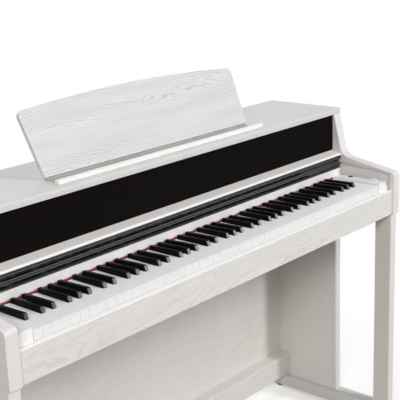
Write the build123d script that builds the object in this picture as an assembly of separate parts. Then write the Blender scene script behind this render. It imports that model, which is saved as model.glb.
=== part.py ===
"""Digital piano on a stand: a cabinet on two leg frames, 88 keys, a sliding key cover,
a folding music rest and three pedals. Millimetres, +Z up, +Y to the back, +X to the player's right.
The origin is on the floor, under the middle of the overall box."""

import os
from math import atan, cos, degrees, radians, sin, sqrt, tan

from build123d import *

os.makedirs("parts", exist_ok=True)

# Keyboard, measured from the front edge and the top of the white keys
WHITE_COUNT = 52
WHITE_PITCH = 23.5
KEY_GAP = 1.0
KEY_TOP_HEIGHT = 734.0
WHITE_SHOWN = 146.0
WHITE_HEAD = 48.5
WHITE_DEEP = 20.0
WHITE_LIP = 8.0
WHITE_LIP_THICK = 5.0
BLACK_WIDTH = 10.5
BLACK_RISE = 12.0
BLACK_FALL = 2.5
BLACK_NOSE = 2.5
BLACK_SLOPE = 4.5
BLACK_EDGE = 1.2
TAIL_DROP = 4.0
TAIL_STEP = 1.0
TAIL_LENGTH = 84.0
TAIL_END = 10.0
PIVOT_DEPTH = 12.0
PIVOT_RADIUS = 2.5
PIVOT_CLEARANCE = 0.3
WHITE_DIP = 10.0

# Cabinet
PANEL = 30.0
END_BLOCK = 47.5
SIDE_GAP = 1.5
ARM_REACH = 20.0
ARM_NOSE = 27.2
ARM_SLOPE = 10.0
ARM_NOSE_RADIUS = 11.0
ARM_EDGE = 2.0
CHEEK_LEAN = 12.9
CHEEK_RADIUS = 38.0
CHEEK_SETBACK = 2.6
LID_THICK = 16.0
LID_HEIGHT = 191.0
LID_DEPTH = 245.0
LID_OVERHANG = 7.0
LID_BACK_OVERHANG = 5.0
LID_EDGE = 5.0
LID_UNDER_EDGE = 1.5
LID_REAR_EDGE = 2.0
BACK_THICK = 4.0
BACK_INSET = 5.0
BACK_LIFT = 3.0
FASCIA_SETBACK = 35.5
CLOTH_THICK = 1.0
FASCIA_THICK = 8.0
SHELF_HEIGHT = 59.5
SHELF_THICK = 12.5
SHELF_REACH = 28.5
SHELF_FALL = 7.0
SHELF_NOSE = 4.0
SHELF_EDGE = 1.0
SHELF_TUCK = 5.0
FELT_THICK = 2.6
FELT_DEEP = 10.0
FELT_GAP = 0.7
FELT_SETBACK = 0.5
STRIP_SETBACK = 4.0
STRIP_WALL = 5.5
STRIP_FLANGE = 5.0
STRIP_EDGE = 1.0
STRIP_GAP = 1.0
STRIP_TO_PIVOT = 15.0
SLIP_THICK = 13.5
SLIP_GAP = 1.5
SLIP_TOP_DROP = 21.0
SLIP_HEIGHT = 70.0
SLIP_EDGE = 3.0
SLIP_UNDER_EDGE = 2.0
SLIP_BACK_EDGE = 0.5
BED_THICK = 18.0

# Right end block controls
BLOCK_RISE = 5.0
BLOCK_FRONT = 6.0
BLOCK_STEP = 12.0
BLOCK_STEP_DROP = 12.0
BLOCK_GAP = 0.5
BUTTON_WIDTH = 10.0
BUTTON_LENGTH = 12.0
BUTTON_RISE = 1.5
BUTTON_DEEP = 8.0
BUTTON_TRAVEL = 2.0
BUTTON_BACK = 109.0
BUTTON_CLEARANCE = 0.3
BUTTON_EDGE = 0.8
WELL_FLOOR = 1.0
CONTROL_INSET = 18.0
KNOB_WIDTH = 11.0
KNOB_LENGTH = 18.0
KNOB_RISE = 3.5
KNOB_BACK = 32.0
KNOB_STEM = 2.0
KNOB_STEM_DEEP = 6.0
KNOB_TRAVEL = 40.0
KNOB_LIFT = 0.3
KNOB_EDGE = 1.0
KNOB_SLOT_LEAD = 5.0

# Sliding key cover, which runs on a wide arc in the side panels
COVER_RADIUS = 1300.0
COVER_TRAVEL = 163.6
COVER_GAP = 1.2
COVER_SIDE_GAP = 2.0
RAIL_CLEARANCE = 12.3
RAIL_THICK = 13.4
RAIL_FORWARD = 0.9
RAIL_LEAN = 3.4
RAIL_TOP_EDGE = 2.0
RAIL_LIP = 8.5
RAIL_LIP_EDGE = 1.5
RAIL_GRIP = 7.0
RAIL_GRIP_TALL = 12.5
RAIL_GRIP_BEVEL = 3.0
RAIL_GRIP_ROUND = 2.0
RAIL_BULGE_EDGE = 3.0
RAIL_UNDER_EDGE = 5.0
RAIL_BACK_EDGE = 1.0
PIN_RADIUS = 3.0
PIN_CLEARANCE = 0.3
PIN_REACH = 4.0
PIN_RISE = 10.9
PIN_INSET = 0.2
PIN_ROOT = 8.0
TRACK_DEEP = 6.5
BOARD_LENGTH = 162.0
BOARD_THICK = 10.0
BOARD_OVER_PIN = 5.0
RUNNER_WIDTH = 18.0
RUNNER_HEIGHT = 15.0
RUNNER_TOE = 3.0

# Music rest
REST_FOOT_WIDTH = 698.7
REST_TOP_WIDTH = 722.0
REST_HEIGHT = 170.1
REST_RADIUS = 3965.0
REST_CORNER = 12.0
REST_THICK = 10.0
REST_LEAN = 24.0
REST_LIFT = 6.6
REST_SETBACK = 74.5
LEDGE_WIDTH = 710.0
LEDGE_SETBACK = 24.5
LEDGE_DEEP = 13.0
LEDGE_HEIGHT = 9.0
LEDGE_EDGE = 1.5
HINGE_SPACING = 500.0
HINGE_OFFSET = 4.0
HINGE_RISE = 4.5
HINGE_PIN = 2.0
HINGE_FIT = 0.05
KNUCKLE_WIDTH = 24.0
LUG_WIDTH = 7.0
LUG_GAP = 0.4
LEAF_THICK = 2.0
LEAF_LENGTH = 38.0
BASE_LENGTH = 34.0
LUG_FOOT = 6.0
STAY_LENGTH = 74.0
STAY_WIDTH = 60.0
STAY_THICK = 3.0
STAY_FOOT = 3.0
TRACK_PLATE = 1.6

# Stand
LEG_THICK = 28.0
LEG_INSET = 1.0
LEG_DEEP = 51.0
LEG_SETBACK = 7.0
LEG_EDGE = 2.0
SIDE_BOARD_LEAD = 2.0
FOOT_WIDTH = 40.0
FOOT_TOP = 45.0
FOOT_NOSE = 16.0
FOOT_EDGE = 4.0
GLIDE_HEIGHT = 8.0
GLIDE_RADIUS = 15.0
GLIDE_INSET = 35.0
BOX_GLIDE_INSET = 25.0
BOX_GLIDE_BACK = 40.0
MODESTY_THICK = 12.0
MODESTY_INSET = 22.0
MODESTY_BOTTOM = 60.0
BEAM_DEEP = 40.0
BEAM_BOTTOM = 55.0
BEAM_TOP = 125.0
BEAM_EDGE = 4.0

# Pedals
BOX_HALF = 115.0
BOX_DEEP = 109.0
BOX_TOP = 95.0
BOX_WALL = 8.0
BOX_EDGE = 6.0
PEDAL_SPACING = 70.0
PEDAL_WIDTH = 24.0
PEDAL_THICK = 8.0
PEDAL_TOE = 9.6
PEDAL_EDGE = 1.5
PEDAL_HEIGHT = 48.0
PEDAL_REACH = 82.0
PEDAL_PIVOT_BACK = 36.0
PEDAL_TAIL = 13.0
PEDAL_DIP = 12.0
PEDAL_ROD = 3.0
PEDAL_ROD_FIT = 0.05
PEDAL_CLEARANCE = 1.5

# Inside
FRAME_PLATE = 3.0
FRAME_RIB = 3.0
FRAME_FRONT_BACK = 18.0
FRAME_FRONT_WIDE = 12.0
SENSOR_BACK = 80.0
SENSOR_WIDE = 60.0
SENSOR_THICK = 1.6
CONTACT_WIDE = 20.0
CONTACT_GAP = 3.0
CONTACT_TALL = 20.0
FRONT_BAR_GAP = 3.0
WOOFER_OUT = 430.0
WOOFER_RADIUS = 62.0
WOOFER_HOLE = 52.0
WOOFER_TALL = 55.0
WOOFER_FLANGE = 4.0
CONE_RISE = 14.0
CAP_RADIUS = 14.0
MAGNET_RADIUS = 30.0
MAGNET_TALL = 18.0
TWEETER_OUT = 480.0
TWEETER_RADIUS = 30.0
TWEETER_HOLE = 24.0
TWEETER_DEEP = 26.0
TWEETER_FLANGE = 3.0
TWEETER_MAGNET = 18.0
BOARD_RISE = 10.0
CIRCUIT_GAP = 20.0
CIRCUIT_OUT = 60.0
MAIN_BOARD_WIDE = 190.0
MAIN_BOARD_DEEP = 105.0
SUPPLY_WIDE = 140.0
SUPPLY_DEEP = 90.0
POST_INSET = 6.0
POST_RADIUS = 4.0
CHIP_UNIT = 2.0
SCREW_RADIUS = 2.0
SCREW_HEAD = 4.0
SCREW_HEAD_TALL = 0.9
SCREW_LENGTH = 24.0
SCREW_FIT = 0.1
SCREW_COUNT = 5
SCREW_END = 20.0
JACK_LEFT = 40.0
JACK_RISE = 12.0
JACK_LENGTH = 210.0
JACK_HEIGHT = 44.0
JACK_PLATE = 0.9
JACK_LAP = 7.0
INLET_FROM_END = 20.0
INLET_WIDTH = 22.0
INLET_HEIGHT = 16.0
INLET_WALL = 4.0
INLET_DEEP = 18.0
SOCKET_RADIUS = 3.2
SOCKET_DEEP = 20.0
SOCKET_WALL = 5.0
SOCKET_END = 4.0
SOCKET_FROM_END = 90.0
SOCKET_SPACING = 40.0

# Planes that the pieces share
keyboard_half = WHITE_COUNT * WHITE_PITCH / 2
x_in = keyboard_half + END_BLOCK + SIDE_GAP
x_out = x_in + PANEL
lid_front_from_key = WHITE_SHOWN + FASCIA_SETBACK - LID_OVERHANG
depth = ARM_REACH + lid_front_from_key + LID_DEPTH
y_arm = -depth / 2
y_key = y_arm + ARM_REACH
y_felt = y_key + WHITE_SHOWN + FELT_SETBACK
y_fascia = y_key + WHITE_SHOWN + FASCIA_SETBACK
y_lid = y_fascia - LID_OVERHANG
y_rear = depth / 2
y_side_rear = y_rear - LID_BACK_OVERHANG
z_key = KEY_TOP_HEIGHT
z_lid_top = z_key + LID_HEIGHT
z_lid = z_lid_top - LID_THICK
z_slip_bottom = z_key - SLIP_TOP_DROP - SLIP_HEIGHT
z_bed_top = z_slip_bottom + BED_THICK
y_slip = y_key - SLIP_GAP - SLIP_THICK
y_bed = y_key - SLIP_GAP
y_pivot = y_key + WHITE_SHOWN + TAIL_LENGTH
z_pivot = z_key - PIVOT_DEPTH


def block(x0, x1, y0, y1, z0, z1):
    """A rectangular solid between six planes."""
    return Pos((x0 + x1) / 2, (y0 + y1) / 2, (z0 + z1) / 2) * Box(x1 - x0, y1 - y0, z1 - z0)


def outline(corners):
    """A closed face through (a, b, radius) corners, with each corner rounded by its own radius."""
    entries, middles, exits = [], [], []
    for i, (a, b, radius) in enumerate(corners):
        here = Vector(a, b)
        to_last = (Vector(*corners[i - 1][:2]) - here).normalized()
        to_next = (Vector(*corners[(i + 1) % len(corners)][:2]) - here).normalized()
        half = radians(to_last.get_angle(to_next)) / 2
        bisector = (to_last + to_next).normalized() if radius else to_last
        entries.append(here + to_last * (radius / tan(half)) if radius else here)
        exits.append(here + to_next * (radius / tan(half)) if radius else here)
        middles.append(here + bisector * (radius / sin(half) - radius) if radius else here)
    edges = []
    for i, (_, _, radius) in enumerate(corners):
        if radius:
            edges.append(ThreePointArc(entries[i], middles[i], exits[i]))
        edges.append(Line(exits[i], entries[(i + 1) % len(corners)]))
    return Face(Wire(edges))


def along_x(corners, x0, x1):
    """A (y, z, radius) outline drawn out along X."""
    return extrude(Plane.YZ.offset(x0) * outline(corners), x1 - x0, dir=(1, 0, 0))


def rod_x(y, z, radius, x0, x1):
    """A round rod along X."""
    return Pos((x0 + x1) / 2, y, z) * Rot(0, 90, 0) * Cylinder(radius, x1 - x0)


def rod_y(x, z, radius, y0, y1):
    """A round rod along Y."""
    return Pos(x, (y0 + y1) / 2, z) * Rot(90, 0, 0) * Cylinder(radius, y1 - y0)


def rod_z(x, y, radius, z0, z1):
    """A round rod along Z."""
    return Pos(x, y, (z0 + z1) / 2) * Cylinder(radius, z1 - z0)


def save(name, *solids):
    """Writes one piece, or one group of like pieces, as its own file."""
    shape = solids[0] if len(solids) == 1 else Compound(children=list(solids))
    export_step(shape, f"parts/{name}.step")


# Key cover path: every point of the cover turns about one far line below the floor
y_crest = y_lid
z_rail_bottom = z_key + BLACK_RISE + RAIL_CLEARANCE
z_shelf = z_key + SHELF_HEIGHT
z_rail_top = z_shelf - COVER_GAP
y_rail_top = y_fascia - SHELF_REACH - RAIL_FORWARD
y_rail_back = y_rail_top + RAIL_THICK
z_pin_crest = z_rail_bottom + PIN_RISE
z_cover_axis = z_pin_crest - COVER_RADIUS
y_front_pin = y_rail_top + RAIL_LEAN + PIN_RADIUS + PIN_INSET
y_rear_pin = y_rail_back + BOARD_LENGTH - 2 * PIN_RADIUS


def on_arc(y, z_at_crest):
    """Height at y of the cover arc that has this height at its crest."""
    radius = z_at_crest - z_cover_axis
    return z_cover_axis + sqrt(radius ** 2 - (y - y_crest) ** 2)


# Side panels: the upper end boards, whose arms run forward beside the keys
z_nose = z_key + ARM_NOSE
y_cheek_top = y_lid + CHEEK_SETBACK
slope = tan(radians(ARM_SLOPE))
lean = tan(radians(90 - CHEEK_LEAN))
y_throat = (z_lid - z_nose + y_arm * slope - y_cheek_top * lean) / (slope - lean)
z_throat = z_nose + (y_throat - y_arm) * slope
side_face = [
    (y_arm, z_slip_bottom, ARM_EDGE),
    (y_arm, z_nose, ARM_NOSE_RADIUS),
    (y_throat, z_throat, CHEEK_RADIUS),
    (y_cheek_top, z_lid, 0),
    (y_side_rear, z_lid, 0),
    (y_side_rear, z_slip_bottom, 0),
]
track_half = PIN_RADIUS + PIN_CLEARANCE
y_track_front = y_front_pin - COVER_TRAVEL - track_half
y_track_back = y_rear_pin + track_half + PIN_CLEARANCE
track_band = rod_x(y_crest, z_cover_axis, COVER_RADIUS + track_half, x_in, x_in + TRACK_DEEP)
track_band -= rod_x(y_crest, z_cover_axis, COVER_RADIUS - track_half, x_in, x_in + TRACK_DEEP)
track = track_band & block(x_in, x_in + TRACK_DEEP, y_track_front, y_track_back, z_bed_top, z_lid)
z_track_front = on_arc(y_track_front, z_pin_crest)
track += block(x_in, x_in + TRACK_DEEP, y_track_front, y_track_front + 2 * track_half,
               z_key - SLIP_TOP_DROP, z_track_front)
screw_step = (z_lid - z_slip_bottom - 2 * SCREW_END) / (SCREW_COUNT - 1)
screw_heights = [z_slip_bottom + SCREW_END + i * screw_step for i in range(SCREW_COUNT)]
x_screw = x_in + PANEL / 2
side_panel = along_x(side_face, x_in, x_out) - track
for z in screw_heights:
    side_panel -= rod_y(x_screw, z, SCREW_RADIUS + SCREW_FIT, y_side_rear - SCREW_LENGTH, y_side_rear)
save("side_panel_right", side_panel)
save("side_panel_left", mirror(side_panel, Plane.YZ))

# Top lid: one board across both ends, rounded along its front edge
lid_face = [
    (y_lid, z_lid, LID_UNDER_EDGE),
    (y_lid, z_lid_top, LID_EDGE),
    (y_rear, z_lid_top, LID_REAR_EDGE),
    (y_rear, z_lid, 0),
]
save("top_lid", along_x(lid_face, -x_out, x_out))

# Fascia: a dark cloth over a board with two tweeter holes, standing on the shelf
z_fascia = z_shelf + SHELF_THICK
y_board = y_fascia + CLOTH_THICK
y_board_back = y_board + FASCIA_THICK
z_tweeter = (z_fascia + z_lid) / 2
fascia_board = block(-x_in, x_in, y_board, y_board_back, z_fascia, z_lid)
for side in (-1, 1):
    fascia_board -= rod_y(side * TWEETER_OUT, z_tweeter, TWEETER_HOLE, y_board, y_board_back)
save("fascia_board", fascia_board)
save("grille_cloth", block(-x_in, x_in, y_fascia, y_board, z_fascia, z_lid))

# Tweeters: a flange on the back of the board, a short basket and a magnet
tweeters = []
for side in (-1, 1):
    x = side * TWEETER_OUT
    tweeter = rod_y(x, z_tweeter, TWEETER_RADIUS, y_board_back, y_board_back + TWEETER_FLANGE)
    tweeter += rod_y(x, z_tweeter, TWEETER_MAGNET, y_board_back, y_board_back + TWEETER_DEEP)
    tweeters.append(tweeter)
save("tweeters", *tweeters)

# Shelf under the fascia: falls gently to a rounded front edge above the key cover
y_shelf = y_fascia - SHELF_REACH
shelf_face = [
    (y_shelf, z_shelf, SHELF_EDGE),
    (y_shelf, z_fascia - SHELF_FALL, SHELF_NOSE),
    (y_fascia, z_fascia, 0),
    (y_board_back + SHELF_TUCK, z_fascia, 0),
    (y_board_back + SHELF_TUCK, z_shelf, 0),
]
save("fascia_shelf", along_x(shelf_face, -x_in, x_in))

# Strip and felt behind the keys: the felt hangs under the strip, over the key tails
z_felt = z_key + FELT_GAP
z_strip = z_felt + FELT_THICK
z_strip_top = z_rail_bottom - STRIP_GAP
y_strip = y_felt + STRIP_SETBACK
strip_face = [
    (y_strip, z_strip, 0),
    (y_strip, z_strip_top, STRIP_EDGE),
    (y_strip + STRIP_WALL, z_strip_top, STRIP_EDGE),
    (y_strip + STRIP_WALL, z_strip + STRIP_FLANGE, 0),
    (y_pivot - STRIP_TO_PIVOT, z_strip + STRIP_FLANGE, 0),
    (y_pivot - STRIP_TO_PIVOT, z_strip, 0),
]
save("rear_key_strip", along_x(strip_face, -x_in, x_in))
save("key_felt", block(-keyboard_half, keyboard_half, y_felt, y_felt + FELT_DEEP, z_felt, z_strip))

# Key slip: the rail along the front of the keys
slip_face = [
    (y_slip, z_slip_bottom, SLIP_UNDER_EDGE),
    (y_slip, z_slip_bottom + SLIP_HEIGHT, SLIP_EDGE),
    (y_bed, z_slip_bottom + SLIP_HEIGHT, SLIP_BACK_EDGE),
    (y_bed, z_slip_bottom, 0),
]
save("key_slip", along_x(slip_face, -x_in, x_in))

# Key bed: the bottom board, open under both woofers
y_woofer = (y_pivot + TAIL_END + y_side_rear) / 2
key_bed = block(-x_in, x_in, y_bed, y_side_rear, z_slip_bottom, z_bed_top)
for side in (-1, 1):
    key_bed -= rod_z(side * WOOFER_OUT, y_woofer, WOOFER_HOLE, z_slip_bottom, z_bed_top)
save("key_bed", key_bed)

# End blocks: fill the ends of the keyboard, stepped down beside the side panels
x_block = keyboard_half + SIDE_GAP
z_block = z_key + BLOCK_RISE
y_block_back = y_strip - BLOCK_GAP
end_block = block(x_block, x_in, y_bed, y_block_back, z_bed_top, z_block - BLOCK_STEP_DROP)
end_block += block(x_block, x_in - BLOCK_STEP, y_bed, y_block_back, z_bed_top, z_block)
save("end_block_left", mirror(end_block, Plane.YZ))

# Right end block: a well for the power button and a slot for the volume slider
x_control = x_in - CONTROL_INSET
y_button = y_key + BUTTON_BACK
y_knob = y_key + KNOB_BACK
well_x = BUTTON_WIDTH / 2 + BUTTON_CLEARANCE
well_y = BUTTON_LENGTH / 2 + BUTTON_CLEARANCE
slot_x = KNOB_STEM / 2 + KNOB_LIFT
slot_y = KNOB_LENGTH / 4 + KNOB_LIFT
right_block = end_block - block(x_control - well_x, x_control + well_x, y_button - well_y, y_button + well_y,
                                z_block - BUTTON_DEEP - BUTTON_TRAVEL - WELL_FLOOR, z_block)
right_block -= block(x_control - slot_x, x_control + slot_x, y_knob - slot_y - KNOB_SLOT_LEAD,
                     y_knob + KNOB_TRAVEL + slot_y, z_block - KNOB_STEM_DEEP - WELL_FLOOR, z_block)
save("end_block_right", right_block)
button = block(x_control - BUTTON_WIDTH / 2, x_control + BUTTON_WIDTH / 2, y_button - BUTTON_LENGTH / 2,
               y_button + BUTTON_LENGTH / 2, z_block - BUTTON_DEEP, z_block + BUTTON_RISE)
save("power_button", fillet(button.faces().sort_by(Axis.Z)[-1].edges(), BUTTON_EDGE))
knob = block(x_control - KNOB_WIDTH / 2, x_control + KNOB_WIDTH / 2, y_knob - KNOB_LENGTH / 2,
             y_knob + KNOB_LENGTH / 2, z_block + KNOB_LIFT, z_block + KNOB_LIFT + KNOB_RISE)
knob = fillet(knob.faces().sort_by(Axis.Z)[-1].edges(), KNOB_EDGE)
knob += block(x_control - KNOB_STEM / 2, x_control + KNOB_STEM / 2, y_knob - KNOB_LENGTH / 4,
              y_knob + KNOB_LENGTH / 4, z_block - KNOB_STEM_DEEP, z_block + KNOB_LIFT)
save("volume_knob", knob)

# Keys: every key turns on one rod at its tail, and stands open below around the rod and its rib
z_head_bottom = z_key - WHITE_DEEP
z_tail_bottom = z_head_bottom + TAIL_STEP
y_tail_end = y_pivot + TAIL_END
notch_half = PIVOT_RADIUS + PIVOT_CLEARANCE
z_notch = z_pivot + notch_half
y_black = y_key + WHITE_HEAD + KEY_GAP
y_crown_back = y_key + WHITE_SHOWN - KEY_GAP


def tail_corners(y_front):
    """Underside of a key from its tail end, round the rod notch, to y_front."""
    return [
        (y_tail_end, z_tail_bottom, 0),
        (y_pivot + notch_half, z_tail_bottom, 0),
        (y_pivot + notch_half, z_notch, 0),
        (y_pivot - notch_half, z_notch, 0),
        (y_pivot - notch_half, z_tail_bottom, 0),
        (y_front, z_tail_bottom, 0),
    ]


head_face = [
    (y_key, z_key, 0),
    (y_key + WHITE_HEAD, z_key, 0),
    (y_key + WHITE_HEAD, z_head_bottom, 0),
    (y_key + WHITE_LIP_THICK, z_head_bottom, 0),
    (y_key + WHITE_LIP_THICK, z_head_bottom - WHITE_LIP, 0),
    (y_key, z_head_bottom - WHITE_LIP, 0),
]
shank_face = [
    (y_key + WHITE_HEAD, z_key, 0),
    (y_key + WHITE_SHOWN, z_key, 0),
    (y_key + WHITE_SHOWN, z_key - TAIL_DROP, 0),
    (y_tail_end, z_key - TAIL_DROP, 0),
] + tail_corners(y_key + WHITE_HEAD)
black_face = [
    (y_black, z_key, 0),
    (y_black + BLACK_SLOPE, z_key + BLACK_RISE, BLACK_NOSE),
    (y_crown_back, z_key + BLACK_RISE - BLACK_FALL, 0),
    (y_crown_back, z_key - TAIL_DROP, 0),
    (y_tail_end, z_key - TAIL_DROP, 0),
] + tail_corners(y_black)
black_key = along_x(black_face, -BLACK_WIDTH / 2, BLACK_WIDTH / 2)
crown = black_key.faces().sort_by(Axis.Z)[-1]
black_key = chamfer(crown.edges().filter_by(Axis.X, reverse=True), BLACK_EDGE)

NATURALS = "ABCDEFG"
THIRDS = WHITE_PITCH * 3 / 5
SEVENTHS = WHITE_PITCH * 4 / 7
SHARP_OFFSETS = {"C": 1.5 * THIRDS, "D": 3.5 * THIRDS - WHITE_PITCH, "F": 1.5 * SEVENTHS,
                 "G": 3.5 * SEVENTHS - WHITE_PITCH, "A": 5.5 * SEVENTHS - 2 * WHITE_PITCH}
notes = {}
sharp_right_edge = None
for index in range(WHITE_COUNT):
    name = NATURALS[index % 7]
    left = -keyboard_half + index * WHITE_PITCH
    has_sharp = name in SHARP_OFFSETS and index < WHITE_COUNT - 1
    sharp_centre = left + SHARP_OFFSETS[name] if has_sharp else None
    tail_left = left + KEY_GAP / 2 if sharp_right_edge is None else sharp_right_edge + KEY_GAP
    tail_right = left + WHITE_PITCH - KEY_GAP / 2
    if has_sharp:
        tail_right = sharp_centre - BLACK_WIDTH / 2 - KEY_GAP
    white_key = along_x(head_face, left + KEY_GAP / 2, left + WHITE_PITCH - KEY_GAP / 2)
    white_key += along_x(shank_face, tail_left, tail_right)
    notes.setdefault(f"keys_{name.lower()}", []).append(white_key)
    sharp_right_edge = None
    if has_sharp:
        notes.setdefault(f"keys_{name.lower()}_sharp", []).append(Pos(sharp_centre, 0, 0) * black_key)
        sharp_right_edge = sharp_centre + BLACK_WIDTH / 2
for name, solids in notes.items():
    save(name, *solids)

# Key frame: a tray on the key bed with a front bar, a sensor bar and a rib under the pivot rod
x_frame = keyboard_half - KEY_GAP
z_plate = z_bed_top + FRAME_PLATE
z_front_bar = z_head_bottom - WHITE_DIP - FRONT_BAR_GAP
contact_middle = y_key + SENSOR_BACK + SENSOR_WIDE / 2
contact_drop = WHITE_DIP * (y_pivot - y_key - SENSOR_BACK) / (y_pivot - y_key)
z_contact = z_tail_bottom - contact_drop - CONTACT_GAP
z_sensor = z_contact - CONTACT_TALL
key_frame = block(-x_frame, x_frame, y_key + FRAME_FRONT_BACK, y_tail_end, z_bed_top, z_plate)
key_frame += block(-x_frame, x_frame, y_key + FRAME_FRONT_BACK, y_key + FRAME_FRONT_BACK + FRAME_FRONT_WIDE,
                   z_plate, z_front_bar)
key_frame += block(-x_frame, x_frame, y_key + SENSOR_BACK, y_key + SENSOR_BACK + SENSOR_WIDE, z_plate,
                   z_sensor - SENSOR_THICK)
key_frame += block(-x_frame, x_frame, y_pivot - FRAME_RIB / 2, y_pivot + FRAME_RIB / 2, z_plate,
                   z_pivot - PIVOT_RADIUS)
save("key_frame", key_frame)
save("key_pivot_rod", rod_x(y_pivot, z_pivot, PIVOT_RADIUS, -x_frame, x_frame))

# Sensor board: a circuit board along the keys, with a rubber contact strip on it
sensor_board = block(-x_frame, x_frame, y_key + SENSOR_BACK, y_key + SENSOR_BACK + SENSOR_WIDE,
                     z_sensor - SENSOR_THICK, z_sensor)
save("sensor_board", sensor_board)
save("contact_strip", block(-x_frame, x_frame, contact_middle - CONTACT_WIDE / 2,
                            contact_middle + CONTACT_WIDE / 2, z_sensor, z_contact))

# Key cover rail: the dark grip along the front of the cover, hollowed under its lip, with end pins
x_cover = x_in - COVER_SIDE_GAP
y_rail_bottom = y_rail_top + RAIL_LEAN
y_grip = y_rail_top + RAIL_GRIP
z_lip = z_rail_top - RAIL_LIP
z_bulge = z_lip - RAIL_GRIP_TALL
rail_face = [
    (y_rail_bottom, z_rail_bottom, RAIL_UNDER_EDGE),
    (y_rail_bottom, z_bulge, RAIL_BULGE_EDGE),
    (y_grip, z_bulge + RAIL_GRIP_BEVEL, RAIL_GRIP_ROUND),
    (y_grip, z_lip - RAIL_GRIP_BEVEL, RAIL_GRIP_ROUND),
    (y_rail_top, z_lip, RAIL_LIP_EDGE),
    (y_rail_top, z_rail_top, RAIL_TOP_EDGE),
    (y_rail_back, z_rail_top, RAIL_BACK_EDGE),
    (y_rail_back, z_rail_bottom, RAIL_BACK_EDGE),
]
rail = along_x(rail_face, -x_cover, x_cover)
for side in (-1, 1):
    x0, x1 = sorted((side * (x_cover - PIN_ROOT), side * (x_in + PIN_REACH)))
    rail += rod_x(y_front_pin, on_arc(y_front_pin, z_pin_crest), PIN_RADIUS, x0, x1)
save("key_cover_rail", rail)

# Key cover board and its two runners, which store under the lid behind the fascia
y_cover_back = y_rail_back + BOARD_LENGTH
z_cover_top = z_pin_crest + PIN_RADIUS + BOARD_OVER_PIN + BOARD_THICK
z_board_front = on_arc(y_rail_back, z_cover_top)
z_board_back = on_arc(y_cover_back, z_cover_top)
board_face = [
    (y_rail_back, z_board_front, 0),
    (y_cover_back, z_board_back, 0),
    (y_cover_back, z_board_back - BOARD_THICK, 0),
    (y_rail_back, z_board_front - BOARD_THICK, 0),
]
save("key_cover_board", along_x(board_face, -x_cover, x_cover))
runner_face = [
    (y_rail_back, z_board_front - BOARD_THICK, 0),
    (y_cover_back, z_board_back - BOARD_THICK, 0),
    (y_cover_back, z_board_back - BOARD_THICK - RUNNER_HEIGHT, RUNNER_TOE),
    (y_rail_back, z_board_front - BOARD_THICK - RUNNER_HEIGHT, 0),
]
runner = along_x(runner_face, x_cover - RUNNER_WIDTH, x_cover)
runner += rod_x(y_rear_pin, on_arc(y_rear_pin, z_pin_crest), PIN_RADIUS, x_cover - PIN_ROOT, x_in + PIN_REACH)
save("key_cover_runners", runner, mirror(runner, Plane.YZ))

# Back panel and its screws: a thin board over the rear edges, cut out behind the sockets
x_back = x_out - BACK_INSET
y_back = y_side_rear + BACK_THICK
x_jack_end = JACK_LEFT + JACK_LENGTH
z_jack = z_bed_top + JACK_RISE
z_jack_top = z_jack + JACK_HEIGHT
back_panel = block(-x_back, x_back, y_side_rear, y_back, z_slip_bottom + BACK_LIFT, z_lid)
back_panel -= block(JACK_LEFT + JACK_LAP, x_jack_end - JACK_LAP, y_side_rear, y_back,
                    z_jack + JACK_LAP, z_jack_top - JACK_LAP)
screws = []
for side in (-1, 1):
    for z in screw_heights:
        hole = SCREW_RADIUS + SCREW_FIT
        back_panel -= rod_y(side * x_screw, z, hole, y_side_rear, y_back)
        screw = rod_y(side * x_screw, z, SCREW_RADIUS, y_back - SCREW_LENGTH, y_back)
        screw += rod_y(side * x_screw, z, SCREW_HEAD, y_back, y_back + SCREW_HEAD_TALL)
        screws.append(screw)
save("back_panel", back_panel)
save("back_screws", *screws)

# Jack panel: a thin plate on the back with the mains inlet and two round sockets
z_socket = z_jack + JACK_HEIGHT / 2
y_jack = y_back + JACK_PLATE
x_inlet = JACK_LEFT + INLET_FROM_END
x_inlet_end = x_inlet + INLET_WIDTH
x_socket = JACK_LEFT + SOCKET_FROM_END
inlet_half = INLET_HEIGHT / 2
shell_half = inlet_half + INLET_WALL
jack_panel = block(JACK_LEFT, x_jack_end, y_back, y_jack, z_jack, z_jack_top)
jack_panel += block(x_inlet - INLET_WALL, x_inlet_end + INLET_WALL, y_side_rear - INLET_DEEP, y_back,
                    z_socket - shell_half, z_socket + shell_half)
jack_panel -= block(x_inlet, x_inlet_end, y_jack - INLET_DEEP, y_jack,
                    z_socket - inlet_half, z_socket + inlet_half)
for x in (x_socket, x_socket + SOCKET_SPACING):
    jack_panel += rod_y(x, z_socket, SOCKET_RADIUS + SOCKET_WALL, y_jack - SOCKET_DEEP - SOCKET_END, y_back)
    jack_panel -= rod_y(x, z_socket, SOCKET_RADIUS, y_jack - SOCKET_DEEP, y_jack)
save("jack_panel", jack_panel)

# Woofers: a flange on the key bed, a paper cone below a basket, and a magnet on top
woofer_face = [
    (0, z_bed_top + CONE_RISE, 0),
    (CAP_RADIUS, z_bed_top + CONE_RISE, 0),
    (WOOFER_HOLE, z_bed_top, 0),
    (WOOFER_RADIUS, z_bed_top, 0),
    (WOOFER_RADIUS, z_bed_top + WOOFER_FLANGE, 0),
    (WOOFER_HOLE, z_bed_top + WOOFER_FLANGE, 0),
    (MAGNET_RADIUS, z_bed_top + WOOFER_TALL - MAGNET_TALL, 0),
    (MAGNET_RADIUS, z_bed_top + WOOFER_TALL, 0),
    (0, z_bed_top + WOOFER_TALL, 0),
]
woofer = revolve(Plane.XZ * outline(woofer_face), Axis.Z)
save("woofers", *[Pos(side * WOOFER_OUT, y_woofer, 0) * woofer for side in (-1, 1)])

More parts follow.
